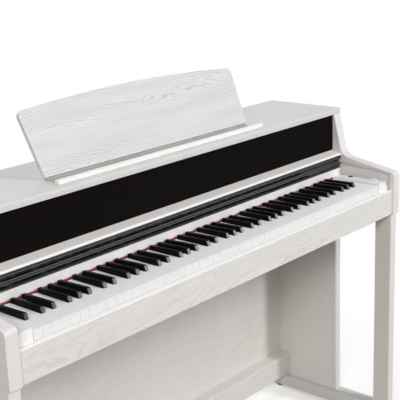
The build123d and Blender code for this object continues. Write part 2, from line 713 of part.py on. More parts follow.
# Circuit boards on the key bed: the sound board on the left, the power supply by the inlet
def circuit_board(x0, x1, y0, y1, parts):
    """A board on four posts with the tall parts that stand on it."""
    z0 = z_bed_top + BOARD_RISE
    board = block(x0, x1, y0, y1, z0, z0 + SENSOR_THICK)
    z1 = z0 + SENSOR_THICK
    for x in (x0 + POST_INSET, x1 - POST_INSET):
        for y in (y0 + POST_INSET, y1 - POST_INSET):
            board += rod_z(x, y, POST_RADIUS, z_bed_top, z0)
    for sizes in parts:
        dx, dy, wide, long, tall = [CHIP_UNIT * size for size in sizes]
        board += block(x0 + dx, x0 + dx + wide, y0 + dy, y0 + dy + long, z1, z1 + tall)
    return board


y_circuit = y_tail_end + CIRCUIT_GAP
chips = [(15, 10, 14, 14, 1.5), (40, 12, 10, 10, 1.5), (60, 9, 20, 7, 6), (15, 35, 30, 6, 5),
         (60, 30, 7, 7, 8)]
save("main_board", circuit_board(-CIRCUIT_OUT - MAIN_BOARD_WIDE, -CIRCUIT_OUT, y_circuit,
                                 y_circuit + MAIN_BOARD_DEEP, chips))
supply_parts = [(8, 7, 21, 20, 15), (40, 8, 9, 9, 13), (52, 8, 9, 9, 13), (10, 33, 45, 5, 14)]
save("power_supply", circuit_board(CIRCUIT_OUT, CIRCUIT_OUT + SUPPLY_WIDE, y_circuit, y_circuit + SUPPLY_DEEP,
                                   supply_parts))

# Music rest panel: leans back on two hinges, wider at its slightly arched top edge
rest_up = Vector(0, sin(radians(REST_LEAN)), cos(radians(REST_LEAN)))
rest_back = Vector(0, cos(radians(REST_LEAN)), -sin(radians(REST_LEAN)))
rest_foot = Vector(0, y_lid + REST_SETBACK, z_lid_top + REST_LIFT)
rest_plane = Plane(origin=rest_foot, x_dir=(1, 0, 0), z_dir=rest_back * -1)
foot_half = REST_FOOT_WIDTH / 2
top_half = REST_TOP_WIDTH / 2
corner_height = REST_HEIGHT - (REST_RADIUS - sqrt(REST_RADIUS ** 2 - top_half ** 2))
rest_edges = [
    Line((-foot_half, 0), (foot_half, 0)),
    Line((foot_half, 0), (top_half, corner_height)),
    ThreePointArc((top_half, corner_height), (0, REST_HEIGHT), (-top_half, corner_height)),
    Line((-top_half, corner_height), (-foot_half, 0)),
]
rest_face = Face(Wire(rest_edges))
rest_face = fillet(rest_face.vertices().sort_by(Axis.Y)[-2:], REST_CORNER)
save("music_rest_panel", extrude(rest_plane * rest_face, REST_THICK, dir=rest_back))


def behind_rest(up, back):
    """A point at a height up the rest and a distance behind its front face."""
    return rest_foot + rest_up * up + rest_back * back


def leaned_block(x0, x1, up0, up1, back0, back1):
    """A rectangular solid that leans with the music rest."""
    flat = Pos((x0 + x1) / 2, (up0 + up1) / 2, -(back0 + back1) / 2) * Box(x1 - x0, up1 - up0, back1 - back0)
    return rest_plane.location * flat


# Music rest hinges: a lugged base with a pin on the lid, and a leaf on the back of the rest
hinge = behind_rest(HINGE_RISE, REST_THICK + HINGE_OFFSET)
knuckle_radius = HINGE_OFFSET - LUG_GAP
bases, leaves = [], []
for side in (-1, 1):
    x = side * HINGE_SPACING / 2
    half_knuckle = KNUCKLE_WIDTH / 2
    pin_half = half_knuckle + LUG_GAP + LUG_WIDTH
    leaf = leaned_block(x - half_knuckle, x + half_knuckle, HINGE_RISE, HINGE_RISE + LEAF_LENGTH,
                        REST_THICK, REST_THICK + LEAF_THICK)
    leaf += rod_x(hinge.Y, hinge.Z, knuckle_radius, x - half_knuckle, x + half_knuckle)
    leaf -= rod_x(hinge.Y, hinge.Z, HINGE_PIN + HINGE_FIT, x - half_knuckle, x + half_knuckle)
    leaves.append(leaf)
    y_base = hinge.Y + knuckle_radius + 1
    base = block(x - pin_half, x + pin_half, y_base, y_base + BASE_LENGTH, z_lid_top, z_lid_top + LEAF_THICK)
    base += rod_x(hinge.Y, hinge.Z, HINGE_PIN, x - pin_half, x + pin_half)
    for end in (-1, 1):
        x0, x1 = sorted((x + end * (half_knuckle + LUG_GAP), x + end * pin_half))
        base += rod_x(hinge.Y, hinge.Z, knuckle_radius, x0, x1)
        base += block(x0, x1, hinge.Y, y_base + LUG_FOOT, z_lid_top, hinge.Z)
    bases.append(base)
save("music_rest_hinge_bases", *bases)
save("music_rest_hinge_leaves", *leaves)

# Stay: a plate hinged high on the rest, whose round foot slides back along a plate on the lid
stay_top = behind_rest(HINGE_RISE + STAY_LENGTH, REST_THICK + HINGE_OFFSET)
stay_foot = Vector(0, 2 * stay_top.Y - hinge.Y, hinge.Z)
stay_half = STAY_WIDTH / 2
stay_middle = (stay_top + stay_foot) * 0.5
stay = Pos(0, stay_middle.Y, stay_middle.Z) * Rot(REST_LEAN, 0, 0) * Box(STAY_WIDTH, STAY_THICK, STAY_LENGTH)
stay += rod_x(stay_top.Y, stay_top.Z, STAY_FOOT, -stay_half, stay_half)
stay += rod_x(stay_foot.Y, stay_foot.Z, STAY_FOOT, -stay_half, stay_half)
stay -= rod_x(stay_top.Y, stay_top.Z, HINGE_PIN + HINGE_FIT, -stay_half, stay_half)
save("music_rest_stay", stay)
lugs = rod_x(stay_top.Y, stay_top.Z, HINGE_PIN, -stay_half - LUG_WIDTH, stay_half + LUG_WIDTH)
for end in (-1, 1):
    x0, x1 = sorted((end * (stay_half + LUG_GAP), end * (stay_half + LUG_WIDTH)))
    lugs += rod_x(stay_top.Y, stay_top.Z, STAY_FOOT, x0, x1)
    up = HINGE_RISE + STAY_LENGTH
    lugs += leaned_block(x0, x1, up - STAY_FOOT, up + STAY_FOOT, REST_THICK, REST_THICK + HINGE_OFFSET)
save("stay_lugs", lugs)
y_track_end = hinge.Y + 2 * STAY_LENGTH + STAY_FOOT
track_plate_half = stay_half + LUG_FOOT
save("stay_track", block(-track_plate_half, track_plate_half, stay_foot.Y - 2 * STAY_FOOT, y_track_end,
                         z_lid_top, z_lid_top + TRACK_PLATE))

# Music rest ledge: the rounded strip on the lid that keeps the sheets from sliding off
y_ledge = y_lid + LEDGE_SETBACK
ledge_face = [
    (y_ledge, z_lid_top, 0),
    (y_ledge, z_lid_top + LEDGE_HEIGHT, LEDGE_EDGE),
    (y_ledge + LEDGE_DEEP, z_lid_top + LEDGE_HEIGHT, LEDGE_EDGE),
    (y_ledge + LEDGE_DEEP, z_lid_top, 0),
]
save("music_rest_ledge", along_x(ledge_face, -LEDGE_WIDTH / 2, LEDGE_WIDTH / 2))

# Stand: a front leg and a side board on a foot at each end
x_leg = x_in + LEG_INSET
y_leg = y_arm + LEG_SETBACK
leg = block(x_leg, x_leg + LEG_THICK, y_leg, y_leg + LEG_DEEP, FOOT_TOP, z_slip_bottom)
leg = fillet(leg.edges().filter_by(Axis.Z), LEG_EDGE)
side_board = block(x_leg, x_leg + LEG_THICK, y_lid - SIDE_BOARD_LEAD, y_side_rear, FOOT_TOP, z_slip_bottom)
side_board = fillet(side_board.edges().filter_by(Axis.Z), LEG_EDGE)
foot_face = [
    (y_arm, GLIDE_HEIGHT, FOOT_EDGE),
    (y_arm, FOOT_TOP, FOOT_NOSE),
    (y_rear, FOOT_TOP, FOOT_NOSE),
    (y_rear, GLIDE_HEIGHT, FOOT_EDGE),
]
foot = along_x(foot_face, x_out - FOOT_WIDTH, x_out)
for name, piece in (("front_leg", leg), ("side_board", side_board)):
    save(f"{name}_right", piece)
    save(f"{name}_left", mirror(piece, Plane.YZ))
save("feet", foot, mirror(foot, Plane.YZ))

# Modesty panel and pedal beam: close the back of the knee space and tie the side boards together
y_modesty = y_side_rear - MODESTY_INSET - MODESTY_THICK
y_modesty_back = y_modesty + MODESTY_THICK
save("modesty_panel", block(-x_leg, x_leg, y_modesty, y_modesty_back, MODESTY_BOTTOM, z_slip_bottom))
y_beam = y_modesty - BEAM_DEEP
beam = block(-x_leg, x_leg, y_beam, y_modesty, BEAM_BOTTOM, BEAM_TOP)
save("pedal_beam", fillet(beam.edges().filter_by(Axis.X).group_by(Axis.Y)[0], BEAM_EDGE))

# Pedal box: a shell in front of the beam, open to it, with a slot for each pedal
y_box = y_beam - BOX_DEEP
pedal_box = block(-BOX_HALF, BOX_HALF, y_box, y_beam, GLIDE_HEIGHT, BOX_TOP)
pedal_box = fillet(pedal_box.edges().filter_by(Axis.Z).group_by(Axis.Y)[0], BOX_EDGE)
pedal_box -= block(-BOX_HALF + BOX_WALL, BOX_HALF - BOX_WALL, y_box + BOX_WALL, y_beam,
                   GLIDE_HEIGHT + BOX_WALL, BOX_TOP - BOX_WALL)
y_pedal_pivot = y_beam - PEDAL_PIVOT_BACK
z_pedal_pivot = PEDAL_HEIGHT + PEDAL_THICK / 2
z_pedal_top = PEDAL_HEIGHT + PEDAL_THICK
y_pedal_tip = y_box - PEDAL_REACH
slot_drop = PEDAL_DIP * (y_pedal_pivot - y_box) / (y_pedal_pivot - y_pedal_tip)
pedal_centres = [i * PEDAL_SPACING for i in (-1, 0, 1)]
for x in pedal_centres:
    reach = PEDAL_WIDTH / 2 + PEDAL_CLEARANCE
    pedal_box -= block(x - reach, x + reach, y_box, y_box + BOX_WALL,
                       PEDAL_HEIGHT - slot_drop - PEDAL_CLEARANCE, z_pedal_top + PEDAL_CLEARANCE)
rod_half = BOX_HALF - BOX_WALL / 2
pedal_box -= rod_x(y_pedal_pivot, z_pedal_pivot, PEDAL_ROD + PEDAL_ROD_FIT, -rod_half, rod_half)
save("pedal_box", pedal_box)
save("pedal_rod", rod_x(y_pedal_pivot, z_pedal_pivot, PEDAL_ROD, -rod_half, rod_half))

# Pedals: soft, sostenuto and sustain levers on one rod, rounded at the toe
for name, x in zip(("pedal_soft", "pedal_sostenuto", "pedal_sustain"), pedal_centres):
    x_left, x_right = x - PEDAL_WIDTH / 2, x + PEDAL_WIDTH / 2
    lever = block(x_left, x_right, y_pedal_tip, y_pedal_pivot + PEDAL_TAIL, PEDAL_HEIGHT, z_pedal_top)
    lever = fillet(lever.edges().filter_by(Axis.Z).group_by(Axis.Y)[0], PEDAL_TOE)
    lever = fillet(lever.faces().sort_by(Axis.Z)[-1].edges(), PEDAL_EDGE)
    lever -= rod_x(y_pedal_pivot, z_pedal_pivot, PEDAL_ROD + PEDAL_ROD_FIT, x_left, x_right)
    save(name, lever)

# Glides: plastic pads under both feet and under the pedal box
glide_lines = (y_arm + GLIDE_INSET, y_rear - GLIDE_INSET)
glide_spots = [(side * (x_out - FOOT_WIDTH / 2), y) for side in (-1, 1) for y in glide_lines]
glide_spots += [(side * (BOX_HALF - BOX_GLIDE_INSET), y_box + BOX_GLIDE_BACK) for side in (-1, 1)]
save("foot_glides", *[rod_z(x, y, GLIDE_RADIUS, 0, GLIDE_HEIGHT) for x, y in glide_spots])

# Joint places, in metres, for the record
print("key pivot", y_pivot / 1000, z_pivot / 1000)
print("white dip deg", degrees(atan(WHITE_DIP / (y_pivot - y_key))))
print("cover axis", y_crest / 1000, z_cover_axis / 1000, "close deg", degrees(COVER_TRAVEL / COVER_RADIUS))
print("sockets", x_socket / 1000, SOCKET_SPACING / 1000, y_jack / 1000, z_socket / 1000)
print("rest hinge", hinge.Y / 1000, hinge.Z / 1000, "stay", stay_top.Y / 1000, stay_top.Z / 1000)
print("pedal pivot", y_pedal_pivot / 1000, z_pedal_pivot / 1000,
      "dip deg", degrees(atan(PEDAL_DIP / (y_pedal_pivot - y_pedal_tip))))
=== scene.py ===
import math
import random

import bmesh
import bpy
from mathutils import Matrix, Vector


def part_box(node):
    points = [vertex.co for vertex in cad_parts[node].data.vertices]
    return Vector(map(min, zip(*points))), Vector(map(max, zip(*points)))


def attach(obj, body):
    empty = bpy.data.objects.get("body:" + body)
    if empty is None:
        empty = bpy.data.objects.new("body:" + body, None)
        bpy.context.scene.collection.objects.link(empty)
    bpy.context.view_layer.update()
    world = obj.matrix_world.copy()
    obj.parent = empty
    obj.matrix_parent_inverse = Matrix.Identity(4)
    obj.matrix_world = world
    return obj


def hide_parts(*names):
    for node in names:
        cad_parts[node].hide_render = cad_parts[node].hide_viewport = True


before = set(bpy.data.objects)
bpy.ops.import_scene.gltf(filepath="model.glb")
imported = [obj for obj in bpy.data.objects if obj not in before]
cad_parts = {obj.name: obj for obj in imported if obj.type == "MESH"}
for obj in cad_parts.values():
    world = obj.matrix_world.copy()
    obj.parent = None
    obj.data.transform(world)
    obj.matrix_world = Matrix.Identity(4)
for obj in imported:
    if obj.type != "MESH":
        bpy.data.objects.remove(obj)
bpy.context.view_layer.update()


# Feet: two long boards that carry the leg frames, fibre board wrapped in white ash-grain laminate.
# The laminate is a printed sheet with pressed pores, so its grain shows as tone and as relief.
RING_PROFILE = ((0, 0), (0.09, 1), (0.34, 0.36), (0.66, 0.04), (1, 0))
SLOW_CELLS = (1.6, 9, 9)
SLOW_WANDER = 0.080
QUICK_CELLS = (11, 42, 42)
QUICK_WANDER = 0.013
BREAK_CELLS = (4, 60, 60)
BREAK_GAIN = 1.9
BREAK_FROM = 0.3
PORE_CELLS = (55, 1300, 1300)
PORE_GAIN = 5.0
PORE_FROM = 2.9
CLOUD_CELLS = (1.2, 6, 6)
PORE_TONE = 0.18
CLOUD_TONE = 0.16
GRAIN_SHADE = 0.72
SATIN = 0.40
DULL = 0.58
PORE_DEPTH = 0.0005
JOIN_REACH = 0.00002
FLAT_ANGLE = math.radians(0.2)
SHARP_ANGLE = math.radians(32)


def place(tree, kind, values=None, **settings):
    """Adds a shader node with its settings, and with plain values on its inputs."""
    node = tree.nodes.new("ShaderNode" + kind)
    for name, value in settings.items():
        setattr(node, name, value)
    for name, value in (values or {}).items():
        node.inputs[name].default_value = value
    return node


def sums(tree, operation, *terms, clamp=False):
    """The result of a Math node; each term is a number or a socket."""
    node = place(tree, "Math", operation=operation, use_clamp=clamp)
    for socket, term in zip(node.inputs, terms):
        if isinstance(term, bpy.types.NodeSocket):
            tree.links.new(term, socket)
        else:
            socket.default_value = term
    return node.outputs[0]


def vectors(tree, operation, *terms):
    """The result of a Vector Math node; each term is a triple, a number or a socket."""
    node = place(tree, "VectorMath", operation=operation)
    sockets = [s for s in node.inputs if s.enabled]
    for socket, term in zip(sockets, terms):
        if isinstance(term, bpy.types.NodeSocket):
            tree.links.new(term, socket)
        else:
            socket.default_value = term
    return next(s for s in node.outputs if s.enabled)


def axes_of(tree, vector):
    """The X, Y and Z of a vector."""
    node = place(tree, "SeparateXYZ")
    tree.links.new(vector, node.inputs[0])
    return node.outputs


def noise(tree, where, stretch, detail=2.0, roughness=0.5, distortion=0.0):
    """Noise from 0 to 1, with stretch cells to the metre along each axis."""
    node = place(tree, "TexNoise", {"Scale": 1.0, "Detail": detail, "Roughness": roughness,
                                    "Distortion": distortion})
    tree.links.new(vectors(tree, "MULTIPLY", where, stretch), node.inputs["Vector"])
    return node.outputs[0]


def ramp(tree, factor, *stops):
    """Colours, or greys, between stops of (place, colour) as the factor goes from 0 to 1."""
    node = place(tree, "ValToRGB")
    points = node.color_ramp.elements
    while len(points) < len(stops):
        points.new(1.0)
    for point, (position, colour) in zip(points, stops):
        point.position = position
        point.color = (*colour, 1.0) if hasattr(colour, "__len__") else (colour, colour, colour, 1.0)
    tree.links.new(factor, node.inputs["Fac"])
    return node.outputs["Color"]


def painted(tree, mask, under, colour):
    """A plain colour over another one, where the mask is 1."""
    node = place(tree, "MixRGB", {"Color2": (*colour, 1)})
    tree.links.new(mask, node.inputs["Fac"])
    tree.links.new(under, node.inputs["Color1"])
    return node.outputs[0]


def effect(name, inputs, outputs):
    """A new shader node group, with its named inputs and outputs."""
    group = bpy.data.node_groups.new(name, "ShaderNodeTree")
    for label, kind, value in inputs:
        socket = group.interface.new_socket(label, in_out="INPUT", socket_type="NodeSocket" + kind)
        socket.default_value = value
    for label in outputs:
        group.interface.new_socket(label, in_out="OUTPUT", socket_type="NodeSocketFloat")
    return group, group.nodes.new("NodeGroupInput").outputs, group.nodes.new("NodeGroupOutput").inputs


def use(tree, group, values=None, **wires):
    """Places a group in a material, with its values and what feeds it."""
    node = place(tree, "Group", node_tree=group)
    for name, value in (values or {}).items():
        node.inputs[name].default_value = value
    for name, socket in wires.items():
        tree.links.new(socket, node.inputs[name])
    return node.outputs


def finish(name, **plain):
    """A new material: its tree, its shader with plain values on its own sockets, and object coordinates."""
    material = bpy.data.materials.new(name)
    material.use_nodes = True
    tree = material.node_tree
    shader = tree.nodes["Principled BSDF"]
    for socket, value in plain.items():
        shader.inputs[socket.replace("_", " ")].default_value = value
    where = place(tree, "TexCoord").outputs["Object"]
    return material, tree, shader, where


def relief(tree, shader, height, depth, strength=1.0):
    """Feeds a height from 0 to 1 into the shader's normal as relief of a depth in metres."""
    bump = place(tree, "Bump", {"Strength": strength, "Distance": depth})
    tree.links.new(height, bump.inputs["Height"])
    tree.links.new(bump.outputs["Normal"], shader.inputs["Normal"])


ash, ash_in, ash_out = effect(
    "ash_grain",
    [("Along", "Vector", (0, 0, 0)), ("Drift", "Vector", (0, 0, 0)), ("Ring", "Float", 0.008)],
    ["Line", "Pore", "Cloud"],
)
ash_along = ash_in["Along"]
heart_shift = vectors(ash, "SCALE", ash_in["Drift"])
ash.links.new(axes_of(ash, ash_along)["X"], heart_shift.node.inputs["Scale"])
ash_across = axes_of(ash, vectors(ash, "SUBTRACT", ash_along, heart_shift))
slow_noise = noise(ash, ash_along, SLOW_CELLS, detail=1.0)
slow_wander = sums(ash, "MULTIPLY_ADD", slow_noise, SLOW_WANDER, -SLOW_WANDER / 2)
quick_noise = noise(ash, ash_along, QUICK_CELLS)
quick_wander = sums(ash, "MULTIPLY_ADD", quick_noise, QUICK_WANDER, -QUICK_WANDER / 2)
wander = sums(ash, "ADD", slow_wander, quick_wander)
ring_place = place(ash, "CombineXYZ")
for across in ("Y", "Z"):
    ash.links.new(sums(ash, "ADD", ash_across[across], wander), ring_place.inputs[across])
ring_count = sums(ash, "DIVIDE", vectors(ash, "LENGTH", ring_place.outputs[0]), ash_in["Ring"])
ring_line = ramp(ash, sums(ash, "FRACT", ring_count), *RING_PROFILE)
break_noise = noise(ash, ash_along, BREAK_CELLS)
broken = sums(ash, "MULTIPLY_ADD", break_noise, BREAK_GAIN, -BREAK_FROM, clamp=True)
ash.links.new(sums(ash, "MULTIPLY", ring_line, broken), ash_out["Line"])
pore_noise = noise(ash, ash_along, PORE_CELLS, detail=1.0)
pore_dash = sums(ash, "MULTIPLY_ADD", pore_noise, PORE_GAIN, -PORE_FROM, clamp=True)
ash.links.new(pore_dash, ash_out["Pore"])
ash.links.new(noise(ash, ash_along, CLOUD_CELLS, detail=3.0), ash_out["Cloud"])


def laminate(name, order, heart, drift=(0, 0, 0), ring=0.009, light=(0.73, 0.73, 0.725), figure=0.3,
             highlight_band=None):
    """White laminate with its grain along the first axis in order, and rings round a heart line.
    A highlight band of (axis, sign, limit, colour) is a painted highlight along an edge, where sign * axis is
    over the limit."""
    material, tree, shader, where = finish(name, Specular_IOR_Level=0.4)
    axes = axes_of(tree, where)
    turned = place(tree, "CombineXYZ")
    for axis, socket in zip(order, turned.inputs):
        tree.links.new(axes[axis], socket)
    along = vectors(tree, "SUBTRACT", turned.outputs[0], heart)
    grain = use(tree, ash, {"Drift": drift, "Ring": ring}, Along=along)
    lines = sums(tree, "MULTIPLY", grain["Line"], figure)
    pores = sums(tree, "MULTIPLY_ADD", grain["Pore"], PORE_TONE, lines)
    tone = sums(tree, "MULTIPLY_ADD", grain["Cloud"], CLOUD_TONE, pores)
    dark = [c * GRAIN_SHADE for c in light]
    laminate_colour = ramp(tree, tone, (0.0, light), (1.0, dark))
    # Painted highlight: a paler strip along an edge, in place of the light that the rounded edge catches.
    if highlight_band:
        axis, sign, limit, colour = highlight_band
        reach = sums(tree, "MULTIPLY", axes[axis], sign)
        laminate_colour = painted(tree, sums(tree, "GREATER_THAN", reach, limit), laminate_colour, colour)
    tree.links.new(laminate_colour, shader.inputs["Base Color"])
    tree.links.new(ramp(tree, tone, (0.0, SATIN), (1.0, DULL)), shader.inputs["Roughness"])
    relief(tree, shader, sums(tree, "SUBTRACT", 1.0, pores), PORE_DEPTH, strength=0.6)
    return material


def dress(material, *names):
    """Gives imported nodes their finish."""
    for name in names:
        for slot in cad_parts[name].material_slots:
            slot.material = material


def soften(*names, edge, segments=2):
    """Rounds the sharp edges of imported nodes, as a real edge is, once their faces are joined up."""
    for name in names:
        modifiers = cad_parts[name].modifiers
        modifiers.new("joined", "WELD").merge_threshold = JOIN_REACH
        flat = modifiers.new("flat_faces", "DECIMATE")
        flat.decimate_type = "DISSOLVE"
        flat.angle_limit = FLAT_ANGLE
        edges = modifiers.new("soft_edges", "BEVEL")
        edges.width = edge
        edges.segments = segments
        edges.limit_method = "ANGLE"
        edges.angle_limit = SHARP_ANGLE
        edges.miter_outer = "MITER_ARC"
        modifiers.new("even_shading", "WEIGHTED_NORMAL").keep_sharp = True


lengthways_laminate = laminate("lengthways_laminate", "YXZ", heart=(0.3, 0.0, 0.9))
dress(lengthways_laminate, "feet")
soften("feet", edge=0.0012)

# Glides: hard black plastic pads, pressed on under the feet and the pedal box.
# They are moulded with a fine leathery grain, and keep the boards off the floor.
BROAD_CELLS = (9, 9, 9)
MOULD_PALE = 1.06
MOULD_DUST = 0.002
MOULD_DEEP = 0.93
MOULD_GLOSS = 0.12


def moulded(name, colour, roughness, grain=0.00006, cells=2600):
    """Moulded plastic: a fine leathery grain, a little unevenness of tone and gloss."""
    material, tree, shader, where = finish(name)
    fine = noise(tree, where, (cells, cells, cells))
    broad = noise(tree, where, BROAD_CELLS, detail=3.0)
    pale = [min(1.0, c * MOULD_PALE + MOULD_DUST) for c in colour]
    deep = [c * MOULD_DEEP for c in colour]
    tree.links.new(ramp(tree, broad, (0.3, deep), (0.7, pale)), shader.inputs["Base Color"])
    uneven = sums(tree, "ADD", fine, broad)
    gloss = sums(tree, "MULTIPLY_ADD", uneven, MOULD_GLOSS, roughness - MOULD_GLOSS)
    tree.links.new(gloss, shader.inputs["Roughness"])
    relief(tree, shader, fine, grain, strength=0.5)
    return material


dark_plastic = moulded("dark_plastic", colour=(0.022, 0.022, 0.023), roughness=0.5)
dress(dark_plastic, "foot_glides")
soften("foot_glides", edge=0.001)

# Leg frames: a slim front leg and a wide side board at each end, dowelled into the foot.
# The same laminate, with its grain upright.
upright_laminate = laminate("upright_laminate", "ZXY", heart=(0.2, 0.0, 0.09), light=(0.78, 0.77, 0.755),
                            figure=0.13)
leg_names = [f"{part}_{side}" for part in ("front_leg", "side_board") for side in ("left", "right")]
dress(upright_laminate, *leg_names)
soften(*leg_names, edge=0.0008)

# Modesty panel and pedal beam: a thin board and a thick one across the back of the knee space,
# cam-locked to the side boards. Grain runs along the piano.
panel_laminate = laminate("panel_laminate", "XYZ", heart=(0.1, 0.9, 0.38), drift=(0, 0.02, 0.02),
                          light=(0.80, 0.79, 0.765), figure=0.28)
dress(panel_laminate, "modesty_panel", "pedal_beam")
soften("modesty_panel", "pedal_beam", edge=0.0008)

# Pedal box: a laminate shell in front of the beam and screwed to it, with a slot for each pedal.
# The plain steel rod across it is what the pedals turn on.
HAZE_CELLS = (40, 40, 40)
METAL_DEEP = 0.86
METAL_GLOSS = 0.22
STREAK_DEPTH = 0.00003


def average(tree, first, second):
    """The mean of two values."""
    return sums(tree, "MULTIPLY_ADD", first, 0.5, sums(tree, "MULTIPLY", second, 0.5))


def metal(name, colour, roughness, streak):
    """Rolled or polished metal: fine streaks along one way, and a faint haze of handling."""
    material, tree, shader, where = finish(name, Metallic=1.0)
    lines = noise(tree, where, streak, detail=3.0, roughness=0.6)
    haze = noise(tree, where, HAZE_CELLS, detail=4.0, roughness=0.6)
    mixed = average(tree, haze, lines)
    deep = [c * METAL_DEEP for c in colour]
    tree.links.new(ramp(tree, mixed, (0.3, deep), (0.7, colour)), shader.inputs["Base Color"])
    gloss = sums(tree, "MULTIPLY_ADD", mixed, METAL_GLOSS, roughness - METAL_GLOSS / 2)
    tree.links.new(gloss, shader.inputs["Roughness"])
    relief(tree, shader, lines, STREAK_DEPTH, strength=0.4)
    return material


dress(panel_laminate, "pedal_box")
soften("pedal_box", edge=0.001)
steel = metal("steel", colour=(0.60, 0.60, 0.61), roughness=0.34, streak=(60, 1500, 1500))
dress(steel, "pedal_rod")

# Pedal box back: a thin board with rounded edges, set into the back of the box below the beam,
# which keeps light and dust out of the pedal slots.
BOX_WALL = 0.008
BACK_INSET = 0.0004
BACK_THICK = 0.004
BACK_EDGE = 0.0008


def sweep_into(mesh, section, stations, ring=False):
    """Carries a closed section through stations, each a function of a section point."""
    loops = [[mesh.verts.new(station(point)) for point in section] for station in stations]
    pairs = list(zip(loops, loops[1:]))
    if ring:
        pairs.append((loops[-1], loops[0]))
    count = len(section)
    for first, second in pairs:
        for i in range(count):
            j = (i + 1) % count
            mesh.faces.new((first[i], first[j], second[j], second[i]))
    if not ring:
        mesh.faces.new(reversed(loops[0]))
        mesh.faces.new(loops[-1])
    bmesh.ops.recalc_face_normals(mesh, faces=mesh.faces)


def piece_from(name, mesh, smooth=True):
    """A new object in the scene from a bmesh."""
    data = bpy.data.meshes.new(name)
    mesh.to_mesh(data)
    mesh.free()
    for face in data.polygons:
        face.use_smooth = smooth
    piece = bpy.data.objects.new(name, data)
    bpy.context.scene.collection.objects.link(piece)
    return piece


def add_piece(piece, body, slot, material, *replaced):
    """Rides a piece on its body, and gives it its finish. Its slot is not used."""
    piece.data.materials.append(material)
    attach(piece, body)
    if replaced:
        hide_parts(*replaced)


def swept(name, section, stations, smooth=True):
    """A piece of its own from one swept section."""
    mesh = bmesh.new()
    sweep_into(mesh, section, stations)
    return piece_from(name, mesh, smooth)


def rounded_section(low, high, radius, steps=4):
    """The corners of a rectangle in two axes, each rounded by a quarter circle."""
    points = []
    corners = ((high[0], high[1], 0), (low[0], high[1], 90), (low[0], low[1], 180), (high[0], low[1], 270))
    for a, b, start in corners:
        centre_a = a - radius if a == high[0] else a + radius
        centre_b = b - radius if b == high[1] else b + radius
        for i in range(steps + 1):
            angle = math.radians(start + 90 * i / steps)
            points.append((centre_a + radius * math.cos(angle), centre_b + radius * math.sin(angle)))
    return points


box_low, box_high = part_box("pedal_box")
beam_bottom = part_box("pedal_beam")[0].z
box_back_section = rounded_section(
    (box_high.y - BACK_INSET - BACK_THICK, box_low.z + BOX_WALL - BACK_INSET),
    (box_high.y - BACK_INSET, beam_bottom + BACK_INSET),
    BACK_EDGE,
)
box_back_reach = box_high.x - BOX_WALL + BACK_INSET
box_back = swept("pedal_box_back", box_back_section, [
    lambda point, x=x: (x, point[0], point[1]) for x in (-box_back_reach, 0, box_back_reach)
])
add_piece(box_back, "cabinet", "white_back_board", panel_laminate)

# Pedals: three cast levers on one rod, rounded at the toe.
# They are polished and plated with brass, with a faint haze from shoes.
pedal_brass = metal("pedal_brass", colour=(0.83, 0.62, 0.28), roughness=0.20, streak=(900, 30, 900))
pedal_names = ["pedal_soft", "pedal_sostenuto", "pedal_sustain"]
dress(pedal_brass, *pedal_names)
soften(*pedal_names, edge=0.0008)

# Key bed: the floor of the keyboard case, a board stained dark where it is out of sight, with two round
# openings for the woofers. It screws up between the side panels.
bed_board = laminate("bed_board", "XYZ", heart=(0, 0.3, 0.7), light=(0.04, 0.037, 0.034))
dress(bed_board, "key_bed")

# Woofers and tweeters: paper cones in pressed baskets, coated matt black.
# The woofers fire down through the key bed, and the tweeters forward through the fascia.
speaker_black = moulded("speaker_black", colour=(0.026, 0.025, 0.024), roughness=0.55, cells=1500)
dress(speaker_black, "woofers", "tweeters")

# Woofer guards: welded rings of black wire on six spokes, pressed into the openings of the key bed
# to keep knees and feet off the cones.
GUARD_RADII = (0.012, 0.022, 0.032, 0.042, 0.0516)
GUARD_WIRE = 0.0009
GUARD_SPOKES = 6
GUARD_RISE = 0.0030
SPOKE_LIFT = 1.6
RING_STEPS = 48
WIRE_SIDES = 8
OPENING_X = 0.430
OPENING_Y = 0.1275


def circle(radius, steps):
    """Points on a circle in two axes."""
    turns = [2 * math.pi * i / steps for i in range(steps)]
    return [(radius * math.cos(turn), radius * math.sin(turn)) for turn in turns]


def around(centre, radius, turn):
    """A station on a ring that lies flat: the section stands across the ring's line."""
    def at(point):
        reach = radius + point[0]
        return (centre[0] + reach * math.cos(turn),
                centre[1] + reach * math.sin(turn),
                centre[2] + point[1])
    return at


def along_spoke(centre, turn, distance):
    """A station on a spoke that lies flat and runs out from the centre."""
    def at(point):
        side = turn + math.pi / 2
        return (centre[0] + distance * math.cos(turn) + point[0] * math.cos(side),
                centre[1] + distance * math.sin(turn) + point[0] * math.sin(side),
                centre[2] + point[1])
    return at


wire_section = circle(GUARD_WIRE, WIRE_SIDES)
ring_turns = [2 * math.pi * i / RING_STEPS for i in range(RING_STEPS)]
spoke_ends = (GUARD_RADII[0], GUARD_RADII[2], GUARD_RADII[-1])
bed_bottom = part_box("key_bed")[0].z
for side_name, opening_x in (("left", -OPENING_X), ("right", OPENING_X)):
    guard = bmesh.new()
    ring_level = (opening_x, OPENING_Y, bed_bottom + GUARD_RISE)
    spoke_level = (opening_x, OPENING_Y, bed_bottom + GUARD_RISE + SPOKE_LIFT * GUARD_WIRE)
    for radius in GUARD_RADII:
        sweep_into(guard, wire_section, [around(ring_level, radius, turn) for turn in ring_turns], ring=True)
    for i in range(GUARD_SPOKES):
        turn = 2 * math.pi * i / GUARD_SPOKES
        sweep_into(guard, wire_section, [along_spoke(spoke_level, turn, reach) for reach in spoke_ends])
    add_piece(piece_from(f"woofer_guard_{side_name}", guard), "cabinet", "speaker_black", speaker_black)

# Side panels: the upper end boards, whose arms run forward beside the keys.
# Thick board wrapped in the laminate and rounded over, with a track inside for the key cover.
arm_laminate = laminate("arm_laminate", "YXZ", heart=(-0.1, 0.0, -0.2), drift=(0, 0.02, 0.03),
                        light=(0.80, 0.782, 0.783))
dress(arm_laminate, "side_panel_left", "side_panel_right")
soften("side_panel_left", "side_panel_right", edge=0.0022, segments=3)
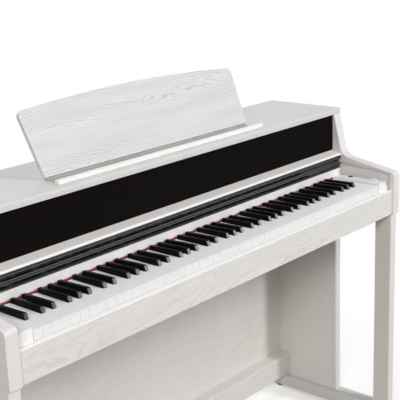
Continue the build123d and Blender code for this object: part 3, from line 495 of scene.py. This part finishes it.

# Key slip: the board along the front under the keys, fixed to the front of the key bed.
# Its face has a lively grain, and a paler band along its rounded top edge is a painted highlight.
SLIP_HIGHLIGHT = 0.0018
slip_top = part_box("key_slip")[1].z
slip_laminate = laminate("slip_laminate", "XYZ", heart=(0.2, -0.32, 0.655), drift=(0, 0.03, 0.02),
                         ring=0.0055, light=(0.77, 0.768, 0.76), figure=0.55,
                         highlight_band=("Z", 1, slip_top - SLIP_HIGHLIGHT, (0.90, 0.90, 0.90)))
dress(slip_laminate, "key_slip")
soften("key_slip", edge=0.0008)

# End blocks: satin white mouldings that fill both ends of the keyboard, beside the arms.
# They stand on the key bed, and the right one holds the controls.
white_plastic = moulded("white_plastic", colour=(0.86, 0.86, 0.86), roughness=0.42)
dress(white_plastic, "end_block_left", "end_block_right")
soften("end_block_left", "end_block_right", edge=0.0012)

# Controls: a black power button that is pressed down, and a white volume slider.
# Both are small mouldings that move in openings of the right end block.
dress(dark_plastic, "power_button")
dress(white_plastic, "volume_knob")
soften("power_button", "volume_knob", edge=0.0006)

# Key frame and pivot rod: a zinc-plated sheet on the key bed that carries the keys,
# and the steel rod on its rear rib that they turn on.
steel_sheet = metal("steel_sheet", colour=(0.46, 0.47, 0.48), roughness=0.42, streak=(40, 600, 600))
dress(steel_sheet, "key_frame")
dress(steel, "key_pivot_rod")

# Circuit boards: the key sensors under the keys, the sound board and the power supply behind them.
# Green board with paler tracks and black parts, fixed down inside the case.
PARTS_ABOVE_BED = 0.0117
PARTS_ABOVE_SENSORS = 0.001
DEEP_GREEN = (0.015, 0.10, 0.04)
TRACK_GREEN = (0.05, 0.20, 0.08)
PART_BLACK = (0.02, 0.02, 0.02)
BOARD_CELLS = (300, 300, 300)


def board_finish(name, part_height):
    """Green board with paler tracks, and black parts above the board's own top."""
    material, tree, shader, where = finish(name, Specular_IOR_Level=0.5)
    tracks = place(tree, "TexBrick", {"Scale": 1.0, "Mortar Size": 0.0004, "Brick Width": 0.011,
                                      "Row Height": 0.0023, "Color1": (0, 0, 0, 1), "Color2": (0, 0, 0, 1),
                                      "Mortar": (1, 1, 1, 1)})
    tree.links.new(where, tracks.inputs["Vector"])
    green = ramp(tree, tracks.outputs["Color"], (0.0, DEEP_GREEN), (1.0, TRACK_GREEN))
    raised = sums(tree, "GREATER_THAN", axes_of(tree, where)["Z"], part_height)
    tree.links.new(painted(tree, raised, green, PART_BLACK), shader.inputs["Base Color"])
    tree.links.new(noise(tree, where, BOARD_CELLS), shader.inputs["Roughness"])
    return material


bed_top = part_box("key_bed")[1].z
sensor_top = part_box("sensor_board")[1].z
dress(board_finish("circuit_board", bed_top + PARTS_ABOVE_BED), "main_board", "power_supply")
dress(board_finish("sensor_circuit", sensor_top + PARTS_ABOVE_SENSORS), "sensor_board")

# Contact strip: a moulded strip of grey silicone on the sensor board,
# which the keys press as they go down.
dress(moulded("soft_rubber", colour=(0.20, 0.20, 0.21), roughness=0.7), "contact_strip")

# White keys: 52 moulded keys with a faint ivory-like texture, each a hair different from the next.
# All turn on the pivot rod, and their fronts are smoother than their tops.
FRONT_GAIN = 2.5
FRONT_FROM = 1.0
KEY_GLOSS = 0.16
KEY_GRAIN = 0.00004


def key_finish(name, light, dark, front_painted_light, roughness, streak, **plain):
    """Key plastic: fine lines along the key, a small shift of tone from key to key, a polished front, and a
    front colour of its own that is painted light.
    """
    material, tree, shader, where = finish(name, **plain)
    lines = noise(tree, where, streak, detail=3.0, roughness=0.6)
    surface = place(tree, "NewGeometry").outputs
    facing = axes_of(tree, surface["Normal"])
    front = sums(tree, "MULTIPLY_ADD", facing["Y"], -FRONT_GAIN, -FRONT_FROM, clamp=True)
    tree.links.new(front, shader.inputs["Coat Weight"])
    mixed = average(tree, surface["Random Per Island"], lines)
    tops = ramp(tree, mixed, (0.0, dark), (1.0, light))
    tree.links.new(painted(tree, front, tops, front_painted_light), shader.inputs["Base Color"])
    gloss = sums(tree, "MULTIPLY_ADD", lines, KEY_GLOSS, roughness - KEY_GLOSS / 2)
    tree.links.new(gloss, shader.inputs["Roughness"])
    relief(tree, shader, lines, KEY_GRAIN, strength=0.5)
    return material


# The white keys' fronts are a greyer white than their tops: painted shade.
white_keys = key_finish("white_keys", light=(0.94, 0.945, 0.955), dark=(0.90, 0.905, 0.915),
                        front_painted_light=(0.80, 0.805, 0.81), roughness=0.40, streak=(700, 60, 700),
                        Specular_IOR_Level=0.15, Coat_Roughness=0.3)
white_names = ["keys_" + note for note in "abcdefg"]
dress(white_keys, *white_names)
soften(*white_names, edge=0.0006)

# Black keys: 36 satin keys with sloping fronts and a fine ebony-like texture.
# They are moulded black right through, and turn on the same rod as the white ones.
# The black keys' fronts are a paler black than their tops: a painted sheen.
black_keys = key_finish("black_keys", light=(0.0032, 0.0026, 0.0026), dark=(0.002, 0.0017, 0.0017),
                        front_painted_light=(0.005, 0.005, 0.005), roughness=0.34, streak=(1300, 60, 1300),
                        Specular_IOR_Level=0.07, Coat_Roughness=0.16)
black_names = [f"keys_{note}_sharp" for note in "acdfg"]
dress(black_keys, *black_names)
soften(*black_names, edge=0.0010, segments=3)

# Rear key strip: the satin white moulding behind the keys, which closes the case over their tails.
# It reaches from one end block to the other and carries the felt.
dress(white_plastic, "rear_key_strip")
soften("rear_key_strip", edge=0.0010)

# Key felt: a strip of red wool felt glued under the front of the rear strip, over the key tails.
# It is cut soft, so its edges waver a little along the keys.
FELT_STATIONS = 260
FELT_WOBBLE = 0.00018
FELT_EDGE = 0.0008
FELT_CELLS = (700, 900, 900)
FELT_DEPTH = 0.0004
FELT_DEEP = (0.22, 0.007, 0.017)
FELT_PALE = (0.42, 0.026, 0.048)
felt_random = random.Random(7)
felt_low, felt_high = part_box("key_felt")
felt_section = rounded_section((felt_low.y + FELT_WOBBLE, felt_low.z + FELT_WOBBLE),
                               (felt_high.y - FELT_WOBBLE, felt_high.z - FELT_WOBBLE), FELT_EDGE)


def felt_station(share):
    """A station at a share of the strip's length, moved a little up or down and to or fro."""
    x = felt_low.x + (felt_high.x - felt_low.x) * share
    shift_y = felt_random.uniform(-FELT_WOBBLE, FELT_WOBBLE)
    shift_z = felt_random.uniform(-FELT_WOBBLE, FELT_WOBBLE)
    return lambda point: (x, point[0] + shift_y, point[1] + shift_z)


felt_stations = [felt_station(i / FELT_STATIONS) for i in range(FELT_STATIONS + 1)]
felt = swept("felt_strip", felt_section, felt_stations)
red_felt, felt_tree, felt_shader, felt_where = finish("red_felt", Roughness=0.95, Specular_IOR_Level=0.1,
                                                      Sheen_Weight=0.3)
fibres = noise(felt_tree, felt_where, FELT_CELLS, detail=4.0, roughness=0.7, distortion=1.5)
felt_colour = ramp(felt_tree, fibres, (0.25, FELT_DEEP), (0.75, FELT_PALE))
felt_tree.links.new(felt_colour, felt_shader.inputs["Base Color"])
relief(felt_tree, felt_shader, fibres, FELT_DEPTH)
add_piece(felt, "cabinet", "red_felt", red_felt, "key_felt")

# Key cover: a board that slides out over the keys, with a dark grip rail along its front,
# extruded with finger grooves and a soft gloss. Four fine grey lines along the rail are painted highlights,
# in place of the light that the groove edges catch.
RAIL_HIGHLIGHT_HEIGHTS = (0.7595, 0.7692, 0.7738, 0.7880)
RAIL_HIGHLIGHT_HALF = 0.0009
RAIL_HIGHLIGHT_GREY = (0.085, 0.088, 0.098)
RAIL_DEEP = (0.003, 0.003, 0.004)
RAIL_PALE = (0.006, 0.006, 0.008)
RAIL_STREAKS = (3, 900, 900)
RAIL_CLOUDS = (5, 60, 60)
RAIL_GLOSS = 0.08
RAIL_GRAIN = 0.00002
dark_rail, rail_tree, rail_shader, rail_where = finish("dark_rail", Specular_IOR_Level=0.5,
                                                       Specular_Tint=(0.88, 0.93, 1.0, 1))
rail_streaks = noise(rail_tree, rail_where, RAIL_STREAKS)
rail_clouds = noise(rail_tree, rail_where, RAIL_CLOUDS)
rail_height = axes_of(rail_tree, rail_where)["Z"]
# Painted highlights: thin grey lines at set heights on the rail, in place of the light caught by the groove
# edges.
painted_highlights = 0.0
for highlight_height in RAIL_HIGHLIGHT_HEIGHTS:
    near_highlight = sums(rail_tree, "COMPARE", rail_height, highlight_height, RAIL_HIGHLIGHT_HALF)
    painted_highlights = sums(rail_tree, "MAXIMUM", painted_highlights, near_highlight)
rail_black = ramp(rail_tree, rail_streaks, (0.3, RAIL_DEEP), (0.7, RAIL_PALE))
rail_colour = painted(rail_tree, painted_highlights, rail_black, RAIL_HIGHLIGHT_GREY)
rail_tree.links.new(rail_colour, rail_shader.inputs["Base Color"])
rail_gloss = sums(rail_tree, "MULTIPLY_ADD", rail_clouds, RAIL_GLOSS, RAIL_GLOSS)
rail_tree.links.new(rail_gloss, rail_shader.inputs["Roughness"])
relief(rail_tree, rail_shader, rail_streaks, RAIL_GRAIN, strength=0.4)
dress(dark_rail, "key_cover_rail")
dress(panel_laminate, "key_cover_board")
dress(dark_plastic, "key_cover_runners")
soften("key_cover_rail", edge=0.0006)
soften("key_cover_board", edge=0.0010)

# Fascia: a dark board with tweeter openings, covered with tight black speaker cloth,
# above a white shelf with a rounded nose.
WEAVE_PITCH = 0.0008
WEAVE_DEPTH = 0.0003
SLUB_CELLS = (120, 120, 1500)
CLOTH_EDGE = 0.00045
CLOTH_STATIONS = 40
CLOTH_DEEP = (0.0024, 0.0019, 0.0019)
CLOTH_PALE = (0.0085, 0.0066, 0.0066)
SHELF_HIGHLIGHT = 0.0042
weave, weave_in, weave_out = effect(
    "plain_weave",
    [("Across", "Float", 0.0), ("Up", "Float", 0.0), ("Pitch", "Float", WEAVE_PITCH)],
    ["Height"],
)


def thread_wave(coordinate):
    """A wave that crosses zero once a thread."""
    turns = sums(weave, "MULTIPLY", sums(weave, "DIVIDE", coordinate, weave_in["Pitch"]), math.pi)
    return sums(weave, "SINE", turns)


weft = thread_wave(weave_in["Across"])
warp = thread_wave(weave_in["Up"])
weft_on_top = sums(weave, "GREATER_THAN", sums(weave, "MULTIPLY", weft, warp), 0.0)
warp_on_top = sums(weave, "SUBTRACT", 1.0, weft_on_top)
weft_height = sums(weave, "MULTIPLY", sums(weave, "ABSOLUTE", weft), weft_on_top)
warp_height = sums(weave, "MULTIPLY", sums(weave, "ABSOLUTE", warp), warp_on_top)
weave.links.new(sums(weave, "MAXIMUM", weft_height, warp_height), weave_out["Height"])

dark_board = laminate("dark_board", "XYZ", heart=(0, 0.3, 0.7), light=(0.03, 0.03, 0.03))
dress(dark_board, "fascia_board")
cloth_low, cloth_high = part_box("grille_cloth")
cloth_size = cloth_high - cloth_low
cloth_section = rounded_section((cloth_low.y, cloth_low.z), (cloth_high.y, cloth_high.z), CLOTH_EDGE)
cloth = swept("fascia_cloth", cloth_section, [
    lambda point, x=cloth_low.x + cloth_size.x * i / CLOTH_STATIONS: (x, *point)
    for i in range(CLOTH_STATIONS + 1)
])
black_cloth, cloth_tree, cloth_shader, cloth_where = finish("black_cloth", Roughness=0.92,
                                                            Specular_IOR_Level=0.03)
cloth_axes = axes_of(cloth_tree, cloth_where)
threads = use(cloth_tree, weave, {"Pitch": WEAVE_PITCH}, Across=cloth_axes["X"], Up=cloth_axes["Z"])
slubs = noise(cloth_tree, cloth_where, SLUB_CELLS)
thread_tone = average(cloth_tree, slubs, threads["Height"])
cloth_colour = ramp(cloth_tree, thread_tone, (0.2, CLOTH_DEEP), (0.8, CLOTH_PALE))
cloth_tree.links.new(cloth_colour, cloth_shader.inputs["Base Color"])
relief(cloth_tree, cloth_shader, threads["Height"], WEAVE_DEPTH, strength=0.7)
add_piece(cloth, "cabinet", "black_cloth", black_cloth, "grille_cloth")

# The shelf's laminate is set paler than the lid's, and a still paler band runs along its rounded nose: both
# are painted light, for a nose that catches the light.
shelf_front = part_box("fascia_shelf")[0].y
shelf_laminate = laminate("shelf_laminate", "XYZ", heart=(0, 0.6, 0.5), ring=0.006, light=(0.86, 0.84, 0.82),
                          figure=0.2, highlight_band=("Y", -1, -shelf_front - SHELF_HIGHLIGHT, (0.93, 0.925, 0.92)))
dress(shelf_laminate, "fascia_shelf")
soften("fascia_shelf", edge=0.0008)

# Back panel: a thin pale board screwed over the rear edges, cut out behind the sockets.
# The grain of its printed face runs along the piano.
back_board = laminate("back_board", "XYZ", heart=(0, 0.9, 0.78), drift=(0, 0.02, 0.02), ring=0.012,
                      light=(0.72, 0.71, 0.69), figure=0.22)
dress(back_board, "back_panel")

# Back screws: zinc-plated pan heads with a cross recess, five up each side of the back panel.
# Each stops at a turn of its own, as screws do when they are driven home.
HEAD_RADIUS = 0.0040
HEAD_CROWN = 0.0034
HEAD_RIM = 0.0005
HEAD_STEPS = 24
RECESS_ARM = 0.0020
RECESS_HALF = 0.0005
RECESS_DEEP = 0.0006
SCREWS_UP = 5
screws_low, screws_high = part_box("back_screws")
head_tall = screws_high.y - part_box("back_panel")[1].y


def head_ring(mesh, centre, points, depth):
    """One loop of a screw head, a depth below its top."""
    return [mesh.verts.new((centre[0] + a, centre[1] - depth, centre[2] + b)) for a, b in points]


def walls(mesh, first, second):
    """The band of faces between two loops."""
    for i in range(len(first)):
        j = (i + 1) % len(first)
        mesh.faces.new((first[i], first[j], second[j], second[i]))


def loop_edges(mesh, loop):
    """The edges of a loop, each made if it isn't there yet."""
    pairs = zip(loop, loop[1:] + loop[:1])
    return [mesh.edges.get(pair) or mesh.edges.new(pair) for pair in pairs]


recess = [(RECESS_ARM, -RECESS_HALF), (RECESS_ARM, RECESS_HALF), (RECESS_HALF, RECESS_HALF),
          (RECESS_HALF, RECESS_ARM), (-RECESS_HALF, RECESS_ARM), (-RECESS_HALF, RECESS_HALF),
          (-RECESS_ARM, RECESS_HALF), (-RECESS_ARM, -RECESS_HALF), (-RECESS_HALF, -RECESS_HALF),
          (-RECESS_HALF, -RECESS_ARM), (RECESS_HALF, -RECESS_ARM), (RECESS_HALF, -RECESS_HALF)]
screw_random = random.Random(11)
heads = bmesh.new()
screw_reach = screws_high.x - HEAD_RADIUS
screw_bottom = screws_low.z + HEAD_RADIUS
screw_step = (screws_high.z - screws_low.z - 2 * HEAD_RADIUS) / (SCREWS_UP - 1)
for screw_x in (-screw_reach, screw_reach):
    for i in range(SCREWS_UP):
        centre = (screw_x, screws_high.y, screw_bottom + i * screw_step)
        turn = screw_random.uniform(0, math.pi / 2)
        cross = [(a * math.cos(turn) - b * math.sin(turn), a * math.sin(turn) + b * math.cos(turn))
                 for a, b in recess]
        foot = head_ring(heads, centre, circle(HEAD_RADIUS, HEAD_STEPS), head_tall)
        rim = head_ring(heads, centre, circle(HEAD_RADIUS, HEAD_STEPS), HEAD_RIM)
        crown = head_ring(heads, centre, circle(HEAD_CROWN, HEAD_STEPS), 0)
        mouth = head_ring(heads, centre, cross, 0)
        floor_of_recess = head_ring(heads, centre, cross, RECESS_DEEP)
        walls(heads, foot, rim)
        walls(heads, rim, crown)
        walls(heads, mouth, floor_of_recess)
        heads.faces.new(floor_of_recess)
        top_edges = loop_edges(heads, crown) + loop_edges(heads, mouth)
        bmesh.ops.triangle_fill(heads, edges=top_edges, use_beauty=True, use_dissolve=False)
bmesh.ops.recalc_face_normals(heads, faces=heads.faces)
add_piece(piece_from("back_screw_heads", heads, smooth=False), "cabinet", "steel", steel, "back_screws")

# Jack panel: a black plate with the mains inlet and two round sockets, each with a metal collar.
# Three flat pins stand in the inlet.
SOCKET_X = (0.130, 0.170)
SOCKET_Z = 0.695
COLLAR = ((0.00315, -0.0060), (0.00315, -0.0002), (0.0035, 0.00006), (0.0050, 0.00008), (0.0054, -0.0001),
          (0.0054, -0.0004))
COLLAR_STEPS = 32
PIN_PLACES = ((0.0640, 0.6965), (0.0710, 0.6930), (0.0780, 0.6965))
PIN_HALF = (0.0010, 0.0020)
PIN_EDGE = 0.0006
PIN_FROM = 0.2014
PIN_TO = 0.2150
PIN_TIP = ((0.0008, 1.0), (0.0002, 0.8), (0.0, 0.5))
dress(dark_plastic, "jack_panel")
jack_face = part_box("jack_panel")[1].y
collars = bmesh.new()
for socket_x in SOCKET_X:
    loops = []
    for reach, rise in COLLAR:
        points = [(socket_x + a, jack_face + rise, SOCKET_Z + b) for a, b in circle(reach, COLLAR_STEPS)]
        loops.append([collars.verts.new(point) for point in points])
    for first, second in zip(loops, loops[1:]):
        walls(collars, first, second)
bmesh.ops.recalc_face_normals(collars, faces=collars.faces)
add_piece(piece_from("socket_collars", collars), "cabinet", "steel", steel)
pins = bmesh.new()
pin_section = rounded_section((-PIN_HALF[0], -PIN_HALF[1]), PIN_HALF, PIN_EDGE)
pin_sizes = [(PIN_FROM, 1.0)] + [(PIN_TO - back, size) for back, size in PIN_TIP]
for pin_x, pin_z in PIN_PLACES:
    sweep_into(pins, pin_section, [
        lambda point, y=y, size=size, x=pin_x, z=pin_z: (x + size * point[0], y, z + size * point[1])
        for y, size in pin_sizes
    ])
add_piece(piece_from("inlet_pins", pins), "cabinet", "steel", steel)

# Top lid: one laminated board across both ends, rounded along its front edge.
# It lies on the side panels and the fascia, and carries the music rest.
lid_laminate = laminate("lid_laminate", "XYZ", heart=(0.4, -0.8, 0.50), drift=(0, 0.02, 0.02),
                        light=(0.685, 0.685, 0.68), figure=0.22)
dress(lid_laminate, "top_lid")
soften("top_lid", edge=0.0010)

# Music rest: a board with an arched top that leans back on two steel hinges, held by a stay,
# with a rounded ledge in front that keeps the sheets on the lid.
rest_laminate = laminate("rest_laminate", "XYZ", heart=(0, -0.12, 0.55), drift=(0, 0.03, -0.02), ring=0.0042,
                         light=(0.735, 0.746, 0.758), figure=1.15)
dress(rest_laminate, "music_rest_panel")
soften("music_rest_panel", edge=0.0012, segments=3)
# The ledge is set near white, much paler than the lid: painted light, so that its top shows as bright as its
# front.
ledge_laminate = laminate("ledge_laminate", "XYZ", heart=(0, 0.3, 0.6), light=(0.93, 0.93, 0.93), figure=0.08)
dress(ledge_laminate, "music_rest_ledge")
soften("music_rest_ledge", edge=0.0008)
white_metal = moulded("white_metal", colour=(0.72, 0.715, 0.70), roughness=0.45, grain=0.00004, cells=3000)
dress(white_metal, "music_rest_hinge_bases", "music_rest_hinge_leaves", "music_rest_stay", "stay_lugs",
      "stay_track")

# Rest mat: a moulded strip of beige-grey rubber on the lid behind the ledge, where the sheets stand,
# with a raised lip that closes the gap under the foot of the rest.
MAT_HALF = 0.345
MAT_END = 0.0006
MAT_PROFILE = ((0.0135, 0.9249), (0.0570, 0.9249), (0.0570, 0.9274), (0.0515, 0.9296), (0.0503, 0.9293),
               (0.0498, 0.9284), (0.0492, 0.9264), (0.0480, 0.9258), (0.0142, 0.9258), (0.0135, 0.9255))
MAT_STATIONS = ((-MAT_HALF, 0.5), (-MAT_HALF + MAT_END, 1.0), (0.0, 1.0), (MAT_HALF - MAT_END, 1.0),
                (MAT_HALF, 0.5))
mat_bottom = MAT_PROFILE[0][1]
mat = swept("rest_mat", MAT_PROFILE, [
    lambda point, x=x, share=share: (x, point[0], mat_bottom + (point[1] - mat_bottom) * share)
    for x, share in MAT_STATIONS
], smooth=False)
mat_rubber = moulded("mat_rubber", colour=(0.40, 0.388, 0.365), roughness=0.75, cells=1800)
add_piece(mat, "cabinet", "soft_rubber", mat_rubber)

# Floor: a plain white sheet that keeps the piano's shadow and fades into the white background.
# The light that it throws back up comes from a darker, warmer shade, as off a boarded floor.
FLOOR_HALF = 6.0
FLOOR_SHADE = (0.78, 0.78, 0.78, 1)
FLOOR_BOUNCE = (0.56, 0.53, 0.48, 1)
FLOOR_LIFT = 0.34
FADE_OVAL = (0.75, 1.0, 1.0)
FADE_FROM = 0.09
FADE_TO = 0.175
WHITE = (1, 1, 1, 1)


def seen_rays(tree):
    """1 for a ray that looks, straight, by a reflection or through glass, and 0 for light that bounces."""
    rays = place(tree, "LightPath").outputs
    straight = sums(tree, "MAXIMUM", rays["Is Camera Ray"], rays["Is Glossy Ray"])
    return sums(tree, "MAXIMUM", straight, rays["Is Transmission Ray"])


def shader_mix(tree, share, first, second):
    """The first shader where the share is 0, and the second where it is 1."""
    node = place(tree, "MixShader")
    for socket, source in zip(node.inputs, (share, first, second)):
        tree.links.new(source, socket)
    return node.outputs[0]


floor_mesh = bmesh.new()
bmesh.ops.create_grid(floor_mesh, x_segments=2, y_segments=2, size=FLOOR_HALF)
floor = piece_from("floor", floor_mesh, smooth=False)
white_floor, floor_tree, floor_shader, floor_where = finish("white_floor", Base_Color=FLOOR_SHADE,
                                                            Roughness=0.9, Specular_IOR_Level=0.0)
white_glow = place(floor_tree, "Emission", {"Color": WHITE, "Strength": 1.0})
lift = place(floor_tree, "Emission", {"Color": WHITE, "Strength": FLOOR_LIFT})
lifted = place(floor_tree, "AddShader")
floor_tree.links.new(floor_shader.outputs[0], lifted.inputs[0])
floor_tree.links.new(lift.outputs[0], lifted.inputs[1])
floor_reach = vectors(floor_tree, "LENGTH", vectors(floor_tree, "MULTIPLY", floor_where, FADE_OVAL))
floor_share = sums(floor_tree, "DIVIDE", floor_reach, FLOOR_HALF)
far_away = ramp(floor_tree, floor_share, (FADE_FROM, 0), (FADE_TO, 1))
faded = shader_mix(floor_tree, far_away, lifted.outputs[0], white_glow.outputs[0])
bounce = place(floor_tree, "BsdfDiffuse", {"Color": FLOOR_BOUNCE})
shown = shader_mix(floor_tree, seen_rays(floor_tree), bounce.outputs[0], faded)
floor_tree.links.new(shown, floor_tree.nodes["Material Output"].inputs["Surface"])
floor.data.materials.append(white_floor)

# Light: a faint room for fill, a tall lamp in front, a card on the right that shows in the glossy
# fronts of the black keys, a large box on the left and a small one high on the right. A box over the
# back and a card behind it light the rear.
ROOM_COLOUR = (1.0, 0.95, 0.91, 1)
ROOM_STRENGTH = 0.05
world = bpy.data.worlds.new("studio")
world.use_nodes = True
bpy.context.scene.world = world
world_tree = world.node_tree
room = world_tree.nodes["Background"]
room.inputs["Color"].default_value = ROOM_COLOUR
room.inputs["Strength"].default_value = ROOM_STRENGTH
backdrop = place(world_tree, "Background", {"Color": WHITE, "Strength": 1.0})
around_all = shader_mix(world_tree, seen_rays(world_tree), room.outputs[0], backdrop.outputs[0])
world_tree.links.new(around_all, world_tree.nodes["World Output"].inputs["Surface"])


def soft_box(name, stands, aim, size, power, colour):
    """A rectangular area lamp that faces a point."""
    lamp = bpy.data.lights.new(name, "AREA")
    lamp.shape = "RECTANGLE"
    lamp.size, lamp.size_y = size
    lamp.energy = power
    lamp.color = colour
    holder = bpy.data.objects.new(name, lamp)
    bpy.context.scene.collection.objects.link(holder)
    holder.location = stands
    holder.rotation_euler = (Vector(aim) - Vector(stands)).to_track_quat("-Z", "Y").to_euler()


soft_box("front_lamp", stands=(1.4, -4.2, 3.0), aim=(0, 0, 0.7), size=(0.35, 1.5), power=118,
         colour=(1.0, 0.995, 1.0))
soft_box("right_card", stands=(3.42, -3.68, 1.55), aim=(0, -0.1, 0.75), size=(2.25, 0.5), power=22,
         colour=(0.99, 1.0, 1.02))
soft_box("left_box", stands=(-3.6, -2.6, 2.95), aim=(0.3, -0.1, 0.7), size=(1.5, 1.1), power=117,
         colour=(1.0, 0.96, 0.93))
soft_box("high_box", stands=(1.5, -0.7, 3.0), aim=(0.4, -0.1, 0.8), size=(1.2, 1.0), power=7,
         colour=(1.0, 0.99, 0.99))
soft_box("back_box", stands=(0.0, 1.5, 3.3), aim=(0, 0, 0.9), size=(4.0, 2.4), power=33,
         colour=(0.99, 1.0, 1.02))
soft_box("rear_card", stands=(0.0, 4.2, 1.9), aim=(0, 0.2, 0.6), size=(2.4, 1.6), power=60,
         colour=(1.0, 1.0, 1.0))

# Camera: in front on the left, a little above the lid, looking across the keys to the right end.
# Its place, turn and lens follow from the keyboard's measures in the photograph.
CAMERA_PLACE = (-1.64374, -1.53663, 1.43860)
CAMERA_YAW = math.radians(48.5145)
CAMERA_PITCH = math.radians(15.7249)
CAMERA_ROLL = math.radians(-2.1710)
SENSOR_MM = 36
LENS_MM = 87.21
level = math.cos(CAMERA_PITCH)
ahead = Vector((math.sin(CAMERA_YAW) * level, math.cos(CAMERA_YAW) * level, -math.sin(CAMERA_PITCH)))
right = Vector((math.cos(CAMERA_YAW), -math.sin(CAMERA_YAW), 0))
up = right.cross(ahead)
rolled_right = right * math.cos(CAMERA_ROLL) + up * math.sin(CAMERA_ROLL)
rolled_up = up * math.cos(CAMERA_ROLL) - right * math.sin(CAMERA_ROLL)
camera_data = bpy.data.cameras.new("camera")
camera_data.sensor_width = SENSOR_MM
camera_data.lens = LENS_MM
camera = bpy.data.objects.new("camera", camera_data)
bpy.context.scene.collection.objects.link(camera)
camera_turn = Matrix((rolled_right, rolled_up, -ahead)).transposed().to_4x4()
camera.matrix_world = Matrix.Translation(CAMERA_PLACE) @ camera_turn
bpy.context.scene.camera = camera
bpy.context.scene.view_settings.view_transform = "Standard"
